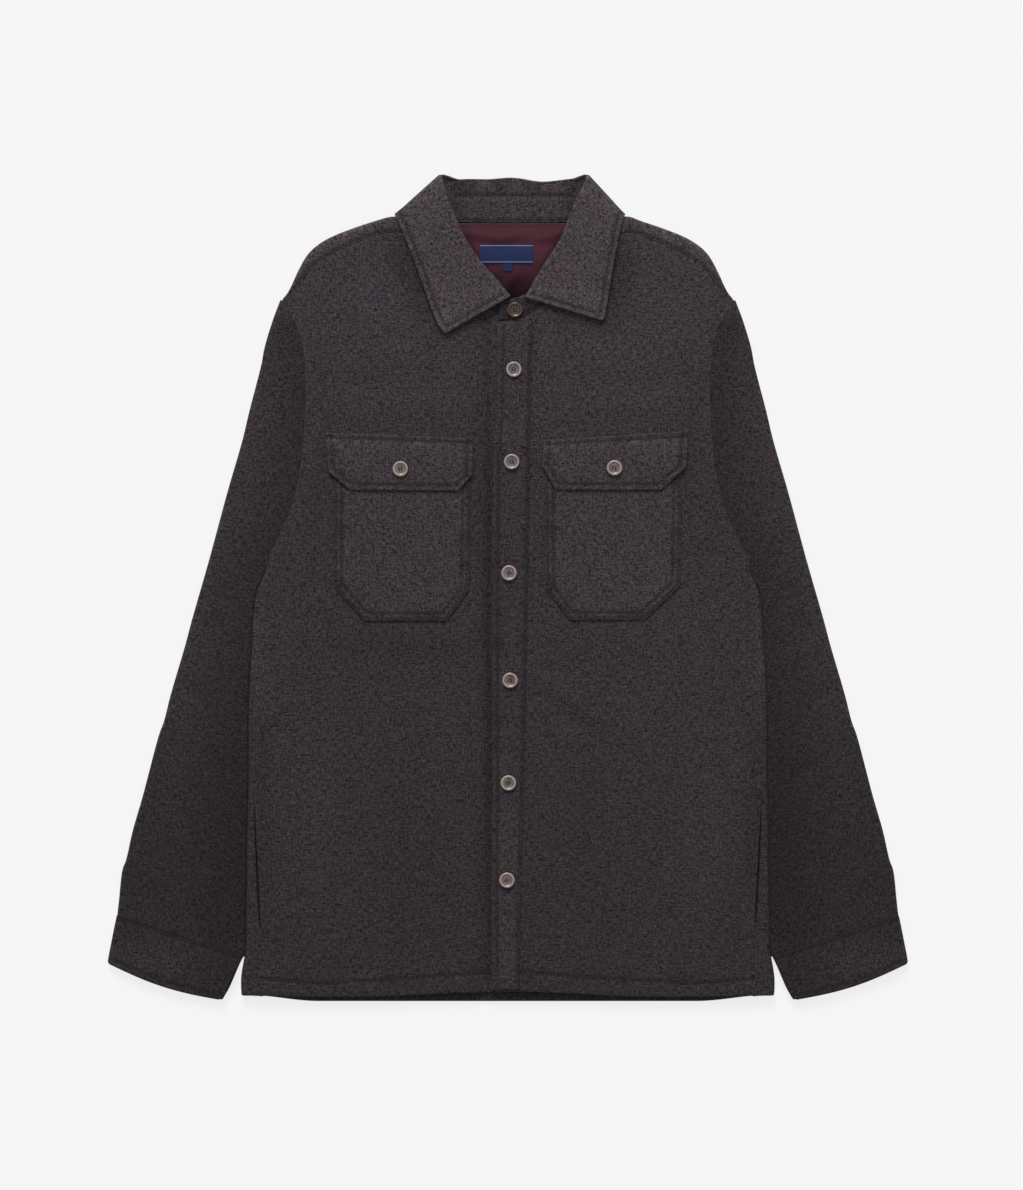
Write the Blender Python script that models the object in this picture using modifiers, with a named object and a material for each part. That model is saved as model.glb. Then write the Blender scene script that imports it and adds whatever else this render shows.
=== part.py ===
"""Shirt jacket, laid flat with its front up.

Metres, +Z up, +Y towards the neck and +X towards the wearer's left. The origin is on the surface that the
jacket lies on, at the middle of its outline. Lengths below are in millimetres and the meshes are scaled once.
"""

import math

import bmesh
import bpy
import numpy as np

MM = 0.001

# Cloth walls and the space left between pieces
BODY_WALL = 3.0
SLEEVE_WALL = 2.6
COLLAR_WALL = 2.6
STAND_WALL = 2.0
POCKET_WALL = 1.6
FLAP_WALL = 1.8
PLACKET_WALL = 1.6
LINING_WALL = 0.8
LABEL_WALL = 0.6
SEAM = 0.4
ROUND_SEAM = 1.7
SLEEVE_GAP = 0.9
STACK = 0.3

# Heights of the middle of each layer above the surface
BACK_HEIGHT = BODY_WALL / 2
SIDE_FOLD = 3.0
FRONT_HEIGHT = BACK_HEIGHT + 2 * SIDE_FOLD
UNDERLAP_HEIGHT = 4.9
OVERLAP_HEIGHT = 8.2
SLEEVE_BOTTOM = SLEEVE_WALL / 2
SLEEVE_TOP = 6.5
SLEEVE_HEAD = 7.3
COLLAR_BACK_LIFT = 3.0
COLLAR_FRONT_LIFT = 1.0
SWELL = 0.45

# Places of the main features
NECK_CENTRE = 6.5
UNDERARM = 31.5
YOKE_SEAM = 262.5
NECK_SEAM = 364.6
HEM_CORNER = -408.5
BACK_HEM_DROP = 4.3
COLLAR_CORNER = {-1: 112.3, 1: 116.7}
QUARTER = math.pi / 2 * SIDE_FOLD
YOKE_BACK_STEPS = 8
YOKE_FOLD_STEPS = 5

# Side outline of the body: height along the jacket, half width
SIDE_OUTLINE = [
    (290.0, 232.0), (82.0, 232.0), (52.0, 236.0), (31.9, 241.0), (17.5, 242.4), (8.0, 246.3), (-6.5, 252.0),
    (-28.5, 255.0), (-59.5, 256.3), (-100.5, 259.0), (-127.5, 259.7), (-179.5, 259.7), (-252.5, 261.0),
    (-332.5, 262.0), (-360.5, 262.5), (-391.5, 267.2), (-413.0, 266.5),
]

# How far the side seam lies round the fold: height, distance from the fold's outermost line
SEAM_ROUND_SIDE = [
    (60.0, 0.0), (17.0, 0.4), (-6.5, 1.5), (-112.5, 4.4), (-184.5, 4.4), (-216.0, 6.9), (-333.0, 14.2),
    (-413.0, 21.9),
]

# Armhole seam: height, distance from the centre line
ARMHOLE = [
    (289.0, 226.2), (275.9, 221.0), (266.7, 214.9), (250.5, 208.0), (237.5, 205.0), (187.5, 203.0),
    (127.5, 207.0), (82.5, 216.2), (43.5, 233.0), (31.5, 241.0),
]

# Shoulder: outline x and y, then the front yoke seam below it, x and y
SHOULDER = [
    (225.6, 288.4, 223.4, 282.4), (219.6, 296.2, 214.6, 292.6), (215.0, 305.0, 208.9, 302.0),
    (211.0, 314.0, 203.5, 310.5), (201.6, 331.5, 192.0, 322.0), (194.0, 340.0, 182.5, 329.5),
    (180.0, 349.5, 170.0, 336.7), (153.0, 360.5, 147.6, 346.3), (133.0, 367.0, 130.0, 352.5),
]

# Heights of the rows of points in the body, and of those along the armhole that sleeve and body share
BODY_ROWS = [-391.0, -369.8, -345.0, -290.0, -235.0, -180.0, -120.0, -60.0, -28.0, -6.0, 8.0, 17.0, 24.0, 28.0]
ARMHOLE_ROWS = [UNDERARM, 41.0, 54.0, 68.0, 86.0, 112.0, 145.0, 180.0, 212.0, 237.0, 252.0]
SHOULDER_ROWS = [266.0, 277.0]

# Sleeve rows slant: height on the inner side, then on the outer side
SLEEVE_SLANT = [
    (279.8, 281.0), (277.0, 278.0), (252.0, 252.5), (212.0, 216.0), (157.5, 167.5), (104.5, 117.5), (62.5, 77.5), (32.0, 46.0),
    (-8.0, 3.0), (-72.5, -56.5), (-182.5, -162.5), (-302.5, -269.5), (-369.8, -328.6),
]

# Outer outline of the sleeve: height, distance from the centre line
SLEEVE_OUTLINE = [
    (284.5, 229.4), (276.0, 232.4), (264.5, 236.5), (239.1, 244.0), (223.8, 246.6), (175.5, 258.7), (147.0, 264.7),
    (103.7, 277.2), (86.5, 282.0), (27.5, 299.0), (-35.1, 316.7), (-56.8, 320.6), (-108.5, 336.0),
    (-134.5, 342.0), (-147.5, 347.0), (-208.5, 364.0), (-243.5, 375.0), (-273.5, 382.0), (-282.5, 385.7),
    (-312.5, 388.3), (-330.0, 390.0),
]

# Cuff: inner x and y, outer x and y, bulge of the edge towards the hand
CUFF_STATIONS = [
    (264.6, -370.3, 390.5, -329.1, 0.0), (269.0, -379.0, 393.0, -340.0, 0.8),
    (273.5, -389.0, 395.8, -354.0, 2.5), (279.0, -401.0, 398.4, -366.5, 4.5),
    (284.6, -410.4, 399.4, -373.4, 5.0),
]

# Front edge of the left front, and of the right front under it: height, x
LEFT_FRONT_EDGE = [
    (265.5, -9.5), (236.5, -10.8), (179.5, -11.4), (141.5, -14.0), (47.5, -15.9), (-72.5, -16.2),
    (-192.5, -16.2), (-327.5, -16.8), (-402.0, -16.2),
]
RIGHT_FRONT_EDGE = [(265.5, 16.0), (47.5, 13.0), (-192.5, 11.0), (-403.8, 10.0)]

# Front neckline, from the front edge to the shoulder: distance from the neck's centre, height
NECKLINE = [(8.0, 266.3), (26.0, 273.0), (46.0, 288.0), (62.0, 312.0), (74.0, 336.0), (79.5, 352.6)]

# Right edge of the placket strip: height, x
PLACKET_INNER_EDGE = [
    (265.5, 25.0), (205.5, 23.2), (-27.5, 19.2), (-192.5, 15.8), (-297.5, 12.8), (-402.0, 11.5),
]

# Pocket and flap outlines for each side, x and y of their corners
POCKETS = {
    "pocket_right": [(-173.8, 130.0), (-173.6, 0.5), (-143.5, -33.5), (-61.4, -33.5), (-38.6, -2.5),
                     (-37.3, 130.0)],
    "pocket_left": [(37.2, 130.0), (38.6, -2.5), (62.2, -32.5), (136.9, -32.5), (172.2, 1.5), (173.6, 130.0)],
}
FLAPS = {
    "flap_right": [(-182.4, 154.8), (-179.5, 115.9), (-158.2, 97.5), (-49.6, 96.5), (-35.0, 113.0),
                   (-35.0, 149.5)],
    "flap_left": [(35.7, 147.5), (34.2, 121.5), (47.4, 97.5), (153.0, 97.5), (178.7, 120.5), (180.2, 156.2)],
}

# Collar fall: roll line x, y, z, then free edge x, y, z, from the right point round the neck to the left one
COLLAR_FALL = [
    (-0.6, 289.0, 12.6, -62.8, 253.4, 11.6), (-12.5, 304.0, 12.9, -69.4, 262.0, 11.6),
    (-31.4, 327.5, 13.0, -80.2, 288.5, 11.8), (-46.0, 350.0, 13.0, -92.5, 323.0, 12.2),
    (-55.0, 370.0, 13.0, -103.5, 351.0, 12.4), (-60.8, 387.5, 12.6, -110.0, 365.5, 12.0),
    (-64.6, 402.5, 11.0, -111.4, 369.6, 9.4), (-65.6, 411.6, 7.0, -111.2, 370.2, 5.6),
    (-62.0, 410.5, 2.4, -106.0, 366.5, 1.3), (-50.0, 407.0, 1.3, -84.0, 355.0, 1.3),
    (-25.0, 406.3, 1.3, -42.0, 348.5, 1.3), (6.5, 406.0, 1.3, 6.5, 347.0, 1.3),
    (38.0, 406.3, 1.3, 55.0, 348.5, 1.3), (63.0, 407.0, 1.3, 90.0, 355.0, 1.3),
    (75.0, 410.5, 2.4, 110.0, 367.0, 1.3), (78.6, 412.0, 7.0, 115.6, 371.0, 5.6),
    (77.0, 402.5, 11.0, 115.8, 370.2, 9.4), (70.0, 387.5, 12.6, 114.2, 364.0, 12.0),
    (63.6, 369.0, 13.0, 109.8, 343.0, 12.4), (54.5, 347.0, 13.0, 105.0, 318.0, 12.2),
    (38.0, 321.0, 13.0, 100.5, 290.0, 11.8), (28.0, 304.0, 12.9, 97.0, 271.0, 11.6),
    (19.6, 289.0, 12.6, 94.8, 266.4, 11.6),
]

# Collar stand: neck seam x, y, z, then top edge x, y, z, from the under end to the buttoned end
COLLAR_STAND = [
    (17.0, 269.0, 5.5, 17.0, 286.0, 5.5), (-5.0, 271.0, 5.5, -1.0, 289.0, 5.6),
    (-17.5, 277.5, 5.9, -13.0, 303.0, 6.4), (-38.0, 293.0, 7.9, -28.0, 324.0, 9.2),
    (-53.0, 316.0, 8.5, -43.5, 348.0, 9.4), (-64.5, 339.0, 8.8, -53.0, 370.0, 9.4),
    (-69.0, 360.5, 9.2, -59.0, 388.0, 9.5), (-68.5, 369.4, 6.9, -63.5, 402.5, 7.2),
    (-62.0, 366.4, 4.5, -57.0, 405.4, 4.5), (-40.0, 365.4, 4.5, -38.0, 405.0, 4.5),
    (6.5, 365.0, 4.5, 6.5, 405.0, 4.5), (53.0, 365.4, 4.5, 51.0, 405.0, 4.5),
    (75.0, 366.4, 4.5, 70.0, 405.4, 4.5), (81.5, 369.4, 6.9, 76.5, 402.5, 7.2),
    (82.0, 360.5, 9.2, 72.0, 388.0, 9.5), (77.5, 339.0, 8.8, 64.5, 369.0, 9.4),
    (66.0, 316.0, 8.5, 50.0, 343.0, 9.4), (50.0, 293.0, 8.4, 36.0, 320.0, 9.3),
    (30.0, 278.0, 8.7, 25.5, 300.0, 9.1), (10.0, 269.0, 8.8, 10.0, 290.5, 8.9),
    (-8.6, 267.6, 8.7, -8.6, 288.0, 8.7),
]

# Lining patch inside the neck: height, left x, right x
NECK_LINING = [
    (363.9, -58.0, 71.0), (350.0, -52.0, 66.0), (335.0, -47.0, 62.0), (318.0, -38.0, 52.0),
    (300.0, -24.0, 40.0), (290.0, -14.0, 31.0),
]
LABEL = {"x": (-27.8, 25.2), "y": (324.5, 343.5)}
SIZE_TAB = {"x": (-5.2, 4.8), "y": (316.6, 324.1)}

# Buttons: their middles
BAND_BUTTON = (7.2, 277.5)
FRONT_BUTTONS = [(6.0, 218.0), (3.9, 125.7), (1.2, 14.5), (2.2, -92.8), (0.6, -195.3), (-0.8, -292.5)]
FLAP_BUTTONS = {"flap_right": (-107.3, 118.5), "flap_left": (106.5, 119.5)}
BUTTON_RADIUS = 7.75
BUTTON_HEIGHT = 2.6
BUTTON_HOLE_RADIUS = 0.8
BUTTON_HOLE_SPACING = 1.75

# Colours and finish of each cloth or trim: linear red, green, blue, roughness
FINISHES = {
    "brushed_wool": (0.040, 0.034, 0.037, 0.95),
    "satin_lining": (0.076, 0.031, 0.044, 0.45),
    "woven_label": (0.020, 0.030, 0.080, 0.70),
    "woven_tab": (0.042, 0.054, 0.117, 0.75),
    "horn_button": (0.153, 0.128, 0.122, 0.30),
}


def smoothstep(value):
    """Ease from 0 to 1 as the value goes from 0 to 1."""
    value = np.clip(value, 0.0, 1.0)
    return value * value * (3 - 2 * value)


def smooth_curve(points, steps):
    """Points along a smooth curve through the given ones, with the same number of steps between each pair."""
    points = np.asarray(points, dtype=float)
    ends = np.vstack([2 * points[0] - points[1], points, 2 * points[-1] - points[-2]])
    dense = []
    for index in range(len(points) - 1):
        before, start, stop, after = ends[index:index + 4]
        gaps = [max(np.linalg.norm(b - a), 1e-6) ** 0.5 for a, b in
                ((before, start), (start, stop), (stop, after))]
        out = (stop - start) / gaps[1] - (stop - before) / (gaps[0] + gaps[1]) + (start - before) / gaps[0]
        into = (after - stop) / gaps[2] - (after - start) / (gaps[1] + gaps[2]) + (stop - start) / gaps[1]
        for share in np.linspace(0, 1, steps, endpoint=False):
            square = share * share
            cube = square * share
            dense.append((2 * cube - 3 * square + 1) * start + (cube - 2 * square + share) * out * gaps[1]
                         + (3 * square - 2 * cube) * stop + (cube - square) * into * gaps[1])
    dense.append(points[-1])
    return np.array(dense)


def shares(curve):
    """Share of a curve's length at each of its points."""
    travelled = np.concatenate([[0], np.cumsum(np.linalg.norm(np.diff(curve, axis=0), axis=1))])
    return travelled / travelled[-1]


def through(points, fractions):
    """Points at the given shares of the length of a smooth curve through the given ones."""
    dense = smooth_curve(points, 12)
    reached = shares(dense)
    return np.stack([np.interp(fractions, reached, dense[:, axis]) for axis in range(dense.shape[1])], axis=1)


def lookup(table):
    """A function of height, smooth through a table of height and value."""
    curve = smooth_curve(sorted(table), 12)
    return lambda height: np.interp(height, curve[:, 0], curve[:, 1])


side_outline = lookup(SIDE_OUTLINE)
seam_round_side = lookup(SEAM_ROUND_SIDE)
armhole = lookup(ARMHOLE)
sleeve_outline = lookup(SLEEVE_OUTLINE)
sleeve_slant = lookup(SLEEVE_SLANT)
left_front_edge = lookup(LEFT_FRONT_EDGE)
right_front_edge = lookup(RIGHT_FRONT_EDGE)
placket_inner_edge = lookup(PLACKET_INNER_EDGE)


def fold_base(y):
    """Distance from the centre line at which the side fold starts to turn."""
    return side_outline(y) - BODY_WALL / 2 - SIDE_FOLD


def fold_line(y):
    """The same, moved out above the underarm, where the panels stay flat to the armhole."""
    return fold_base(y) + 8.0 * smoothstep((y - 16.0) / 34.0)


def collar_lift(x, y):
    """1 where the collar lies under the yoke, easing to 0 around it."""
    beside = np.maximum(0.0, np.abs(x - NECK_CENTRE) - 120.0)
    below = np.maximum(0.0, 340.0 - y)
    return 1.0 - smoothstep(np.hypot(beside, below) / 28.0)


def back_height(x, y):
    """Height of the middle of the back and yoke."""
    return BACK_HEIGHT + COLLAR_BACK_LIFT * collar_lift(x, y)


def swell(x, y):
    """Soft rise and fall of the front, none at its sides."""
    side = np.where(y < UNDERARM, fold_base(y), armhole(y))
    inside = smoothstep((side - np.abs(x)) / 45.0) * smoothstep((330.0 - y) / 60.0)
    waves = 1.0 + 0.6 * np.sin(x / 47.0 + 0.9) * np.sin(y / 71.0 + 0.4) + 0.4 * np.sin(y / 38.0 - x / 90.0)
    return SWELL * inside * waves


def front_height(x, y, side):
    """Height of the middle of a front: -1 is the right front, 1 is the left, which laps over it."""
    if side < 0:
        flat = FRONT_HEIGHT + swell(x, y)
        lap = smoothstep((x + 35.0) / 15.0)
        level = flat + (UNDERLAP_HEIGHT - flat) * lap
    else:
        lap = 1.0 - smoothstep((x - 25.0) / 25.0)
        level = FRONT_HEIGHT + (OVERLAP_HEIGHT - FRONT_HEIGHT) * lap + swell(x, y)
    return level + COLLAR_FRONT_LIFT * collar_lift(x, y)


def patch(bottom, top, left, right, across, up):
    """Grid of x and y between four edge curves, which start at the shared corners."""
    grid = np.zeros((len(up), len(across), 2))
    for row, v in enumerate(up):
        for column, u in enumerate(across):
            corners = ((1 - u) * (1 - v) * left[0] + u * (1 - v) * right[0]
                       + (1 - u) * v * left[-1] + u * v * right[-1])
            grid[row, column] = ((1 - u) * left[row] + u * right[row] + (1 - v) * bottom[column]
                                 + v * top[column] - corners)
    return grid


def add_sheet(name, grid, wall, finish, parts):
    """One closed cloth piece: an open grid of points in millimetres, thickened by Solidify.

    A row may have no points in some columns, marked by not-a-number, where the cloth has an edge.
    """
    rows, columns = grid.shape[:2]
    there = ~np.isnan(grid[:, :, 0])
    number = np.cumsum(there.reshape(-1)).reshape(there.shape) - 1
    faces = []
    for row in range(rows - 1):
        for column in range(columns - 1):
            corners = [(row, column), (row, column + 1), (row + 1, column + 1), (row + 1, column)]
            if all(there[corner] for corner in corners):
                faces.append([int(number[corner]) for corner in corners])
    mesh = bpy.data.meshes.new(name)
    mesh.from_pydata((grid[there] * MM).tolist(), [], faces)
    piece = bpy.data.objects.new(name, mesh)
    parts.objects.link(piece)
    mesh.materials.append(finish)
    solidify = piece.modifiers.new("cloth_wall", "SOLIDIFY")
    solidify.thickness = wall * MM
    solidify.offset = 0.0
    mesh.shade_smooth()
    return piece


def make_finishes():
    """One Principled material for each cloth or trim."""
    made = {}
    for name, (red, green, blue, roughness) in FINISHES.items():
        material = bpy.data.materials.new(name)
        material.use_nodes = True
        shader = material.node_tree.nodes["Principled BSDF"]
        shader.inputs["Base Color"].default_value = (red, green, blue, 1.0)
        shader.inputs["Roughness"].default_value = roughness
        shader.inputs["Metallic"].default_value = 0.0
        made[name] = material
    return made


def shoulder_columns(side):
    """Outline and front seam points of one shoulder, from the armhole to the neck."""
    corner = COLLAR_CORNER[side]
    neck = 79.5 + side * NECK_CENTRE
    under_collar = [
        (corner + 6.0, 370.4, corner + 3.0, 355.2), (corner + 1.2, 367.0, corner - 3.0, 354.8),
        (corner - 12.0, 366.6, corner - 15.0, 353.6), (neck, 366.4, neck, 353.0),
    ]
    table = np.array(SHOULDER + under_collar)
    return through(table, np.linspace(0, 1, 10))


def front_panel(side):
    """Grid of one front: hem, side and armhole, shoulder, and front edge with neckline."""
    edge = left_front_edge if side > 0 else right_front_edge
    hem_middle = -402.0 if side > 0 else -403.8
    levels = np.array([HEM_CORNER] + BODY_ROWS + ARMHOLE_ROWS + SHOULDER_ROWS + [281.2])
    rounded = fold_base(levels) + QUARTER - seam_round_side(levels) - ROUND_SEAM / 2
    sewn = armhole(levels) - SEAM / 2
    left = np.stack([np.where(levels < UNDERARM, rounded, sewn), levels], axis=1)
    up = shares(left)
    corner = len(levels) - 6
    middle = [(side * edge(y), y) for y in (hem_middle, -300, -200, -100, 0, 100, 180, 230, 265.5)]
    neck = [middle[-1]] + [(e + side * NECK_CENTRE, y) for e, y in NECKLINE]
    below = through(middle, up[:corner] / up[corner - 1])
    above = through(neck, (up[corner:] - up[corner - 1]) / (1 - up[corner - 1]))
    right = np.vstack([below, above])
    across = np.array([0.0, 0.005, 0.011, 0.018, 0.12, 0.35, 0.58, 0.74, 0.82, 0.85, 0.88, 1.0])
    hem = [tuple(left[0]), (186.0, -409.5), (120.0, -409.0), (60.0, -406.0), tuple(right[0])]
    bottom = through(hem, across)
    seam = shoulder_columns(side)[:, 2:]
    run = np.gradient(seam, axis=0)
    run /= np.linalg.norm(run, axis=1)[:, None]
    inset = seam + np.stack([-run[:, 1], run[:, 0]], axis=1) * 1.5 * SEAM
    top = through([tuple(left[-1])] + inset[1:-1].tolist() + [tuple(right[-1])], across)
    flat = patch(bottom, top, left, right, across, up)
    grid = np.zeros(flat.shape[:2] + (3,))
    for index in np.ndindex(flat.shape[:2]):
        out, y = flat[index]
        over = max(0.0, out - fold_line(y))
        start = min(out, fold_line(y))
        angle = over / SIDE_FOLD
        x = side * (start + SIDE_FOLD * math.sin(angle))
        drop = SIDE_FOLD * (1 - math.cos(angle))
        grid[index] = (x, y, front_height(side * start, y, side) - drop)
    return grid


def back_panel():
    """Grid of the back, flat on the surface, round both sides and a little way onto the front."""
    levels = [HEM_CORNER] + BODY_ROWS + ARMHOLE_ROWS + [YOKE_SEAM - SEAM]
    rows = []
    for y in levels:
        if y < UNDERARM:
            reach = fold_base(y) + QUARTER + seam_round_side(y) - ROUND_SEAM / 2
        else:
            reach = armhole(y) - SEAM / 2
        turn = min(fold_line(y), reach - 0.5)
        flat = np.linspace(0, turn, 3)[:-1]
        round_side = np.linspace(turn, reach, 8)
        half = []
        for out in np.concatenate([flat, round_side]):
            over = max(0.0, out - fold_line(y))
            angle = min(over / SIDE_FOLD, math.pi)
            inward = max(0.0, over - math.pi * SIDE_FOLD)
            x = min(out, fold_line(y)) + SIDE_FOLD * math.sin(angle) - inward
            z = back_height(x, y) + SIDE_FOLD * (1 - math.cos(angle))
            level = y
            if y == HEM_CORNER:
                level = y - BACK_HEM_DROP * (1 - smoothstep((x - 190.0) / 70.0))
            half.append((x, level, z))
        mirrored = [(-x, level, z) for x, level, z in reversed(half[1:])]
        rows.append(mirrored + half)
    return np.array(rows)


def yoke_column(outline, seam, foot):
    """One line of the yoke, from the back seam over the shoulder fold to the front seam."""
    outline = np.array(outline)
    foot = np.array(foot)
    inward = (foot - outline) / np.linalg.norm(foot - outline)
    low = back_height(*outline)
    high = front_height(*seam, 1 if seam[0] > 0 else -1)
    radius = (high - low) / 2
    turn = outline + inward * (BODY_WALL / 2 + radius)
    line = yoke_back_line(foot, turn)
    for angle in np.linspace(0, math.pi, YOKE_FOLD_STEPS + 1)[1:]:
        place = turn - inward * radius * math.sin(angle)
        line.append((*place, low + radius * (1 - math.cos(angle))))
    middle = turn + (np.array(seam) - turn) / 2
    return line + [(*middle, high), (*seam, high)]


def yoke_back_line(foot, end):
    """The part of that line that lies on the back."""
    places = [foot + (end - foot) * share for share in np.linspace(0, 1, YOKE_BACK_STEPS + 1)]
    return [(x, y, back_height(x, y)) for x, y in places]


def yoke_levels():
    """Heights of the yoke's points below the neck, which the lining shares."""
    return np.linspace(YOKE_SEAM, NECK_SEAM - SEAM, YOKE_BACK_STEPS + 1)


def yoke():
    """Grid of the yoke: both shoulders with their folds, and the back between them up to the neck seam."""
    sides = {}
    for side in (-1, 1):
        columns = []
        places = shoulder_columns(side)
        for index, (x, y, seam_x, seam_y) in enumerate(places):
            share = index / (len(places) - 1)
            pull = SEAM if index == 0 else 0.0
            foot_x = armhole(YOKE_SEAM) - SEAM + share * (places[-1][0] - armhole(YOKE_SEAM))
            foot = (side * foot_x, YOKE_SEAM)
            columns.append(yoke_column((side * (x - pull), y), (side * (seam_x - pull), seam_y), foot))
        sides[side] = columns
    left_x = sides[-1][-1][0][0]
    right_x = sides[1][-1][0][0]
    missing = [(math.nan, math.nan, math.nan)] * (YOKE_FOLD_STEPS + 2)
    middle = []
    for share in np.linspace(0, 1, 9)[1:-1]:
        foot = np.array([left_x + (right_x - left_x) * share, YOKE_SEAM])
        end = np.array([foot[0], NECK_SEAM - SEAM])
        middle.append(yoke_back_line(foot, end) + missing)
    return np.array(sides[-1] + middle + sides[1][::-1])


def sleeve_line(inner, outer, closed, head, bulge=0.0):
    """One ring of a flattened sleeve, from its upper inner edge round the outer fold to the lower inner edge."""
    inner = np.array(inner)
    outer = np.array(outer)
    width = np.linalg.norm(outer - inner)
    along = (outer - inner) / width
    towards_hand = np.array([along[1], -along[0]])
    rise_inner = (SLEEVE_TOP + head - SLEEVE_BOTTOM) / 2
    rise_outer = (SLEEVE_TOP - SLEEVE_BOTTOM) / 2
    span = math.radians(12 + 58 * closed)
    start = SLEEVE_WALL / 2 * closed + rise_inner * math.sin(span)
    stop = width - SLEEVE_WALL / 2 - rise_outer
    points = []
    for angle in np.linspace(span, 0, 4):
        points.append((start - rise_inner * math.sin(angle), SLEEVE_BOTTOM + rise_inner * (1 + math.cos(angle))))
    for share in np.linspace(0, 1, 6)[1:]:
        place = start + (stop - start) * share
        step = head * (1 - smoothstep((place - 6.0) / 16.0)) * (1 - smoothstep(share * 1.3 - 0.3))
        points.append((place, SLEEVE_TOP + step))
    for angle in np.linspace(0, math.pi, 6)[1:]:
        points.append((stop + rise_outer * math.sin(angle), SLEEVE_BOTTOM + rise_outer * (1 + math.cos(angle))))
    for share in np.linspace(1, 0, 3)[1:]:
        points.append((start + (stop - start) * share, SLEEVE_BOTTOM))
    for angle in np.linspace(0, span, 4)[1:]:
        points.append((start - rise_inner * math.sin(angle), SLEEVE_BOTTOM + rise_inner * (1 - math.cos(angle))))
    line = []
    for across, height in points:
        swing = bulge * math.sin(math.pi * np.clip(across / width, 0, 1))
        place = inner + along * across + towards_hand * swing
        line.append((place[0], place[1], height))
    return line


def sleeve(side):
    """Grid of one sleeve, from the armhole to the cuff seam, open along its seam beside the body."""
    rows = []
    levels = BODY_ROWS[1:] + ARMHOLE_ROWS + SHOULDER_ROWS + [SLEEVE_SLANT[0][0]]
    for inner_y in levels[::-1]:
        outer_y = float(sleeve_slant(inner_y))
        closed = float(1 - smoothstep((inner_y - 8.0) / 34.0))
        edge = armhole(inner_y) if inner_y > UNDERARM else side_outline(inner_y)
        beside = edge + (SLEEVE_GAP if inner_y > -30.0 else SEAM)
        head = (SLEEVE_HEAD - SLEEVE_TOP) * (1 - closed)
        rows.append(sleeve_line((beside, inner_y), (sleeve_outline(outer_y), outer_y), closed, head))
    return np.array(rows) * [side, 1, 1]


def cuff(side):
    """Grid of one cuff, in line with its sleeve."""
    rows = [
        sleeve_line((inner_x, inner_y), (outer_x, outer_y), 1.0, 0.0, bulge)
        for inner_x, inner_y, outer_x, outer_y, bulge in CUFF_STATIONS
    ]
    return np.array(rows) * [side, 1, 1]


def band(table, across, steps):
    """Grid of a strip between two lines of points, no lower than the surface."""
    stations = smooth_curve(table, steps)
    grid = np.array([
        [station[:3] + (station[3:] - station[:3]) * share for share in np.linspace(0, 1, across)]
        for station in stations
    ])
    grid[:, :, 2] = np.maximum(grid[:, :, 2], COLLAR_WALL / 2)
    return grid


def applied(corners, side, lift, rows, columns):
    """Grid of a flat piece on a front, from its outline: two upper corners, two lower and their chamfers."""
    left_top, left_low, left_foot, right_foot, right_low, right_top = [np.array(c) for c in corners]
    depth = left_top[1] - left_foot[1]
    grid = np.zeros((rows, columns, 3))
    chamfer = (left_low[1] - left_foot[1]) / depth
    levels = np.concatenate([np.linspace(0, 1 - chamfer, rows - 3), 1 - chamfer * np.array([0.66, 0.33, 0.0])])
    for row, share in enumerate(levels):
        left = np.array([np.interp(share, [0, 1 - chamfer, 1], [left_top[axis], left_low[axis], left_foot[axis]])
                         for axis in (0, 1)])
        right = np.array([np.interp(share, [0, 1 - chamfer, 1],
                                    [right_top[axis], right_low[axis], right_foot[axis]]) for axis in (0, 1)])
        for column, part in enumerate(np.linspace(0, 1, columns)):
            x, y = left + (right - left) * part
            grid[row, column] = (x, y, front_height(x, y, side) + lift(y))
    return grid


def pocket_lift(y):
    """A pocket lies on the front."""
    return BODY_WALL / 2 + STACK + POCKET_WALL / 2


def flap_lift(y):
    """A flap starts on the front and rises over the pocket below it."""
    on_front = BODY_WALL / 2 + STACK + FLAP_WALL / 2
    over_pocket = BODY_WALL / 2 + STACK + POCKET_WALL + STACK + FLAP_WALL / 2
    return on_front + (over_pocket - on_front) * float(smoothstep((152.0 - y) / 18.0))


def placket():
    """Grid of the strip on the left front's edge."""
    lift = BODY_WALL / 2 + STACK + PLACKET_WALL / 2
    rows = []
    for y in np.linspace(265.5, -401.6, 25):
        start = float(left_front_edge(y)) + 0.3
        stop = float(placket_inner_edge(y))
        rows.append([(x, y, front_height(x, y, 1) + lift) for x in np.linspace(start, stop, 4)])
    return np.array(rows)


def neck_lining():
    """Grid of the lining that shows inside the neck."""
    lift = BODY_WALL / 2 + STACK + LINING_WALL / 2
    table = np.array(NECK_LINING)
    rows = []
    levels = [table[0, 0]] + [y for y in yoke_levels()[::-1] if 291.0 < y < 363.0] + [table[-1, 0]]
    for y in levels:
        start = np.interp(-y, -table[:, 0], table[:, 1])
        stop = np.interp(-y, -table[:, 0], table[:, 2])
        rows.append([(x, y, back_height(x, y) + lift) for x in np.linspace(start, stop, 7)])
    return np.array(rows)


def on_lining(spot, lift):
    """Grid of a small piece lying on the neck lining."""
    base = BODY_WALL / 2 + STACK + LINING_WALL + STACK + lift
    return np.array([
        [(x, y, back_height(x, y) + base) for x in np.linspace(*spot["x"], 6)]
        for y in np.linspace(*spot["y"], 5)
    ])


def button_top(place, side, base):
    """Height of the cloth under a button."""
    x, y = place
    reach = BUTTON_RADIUS
    around = [(x, y), (x - reach, y), (x + reach, y), (x, y - reach), (x, y + reach)]
    return max(float(front_height(px, py, side)) for px, py in around) + base


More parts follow.
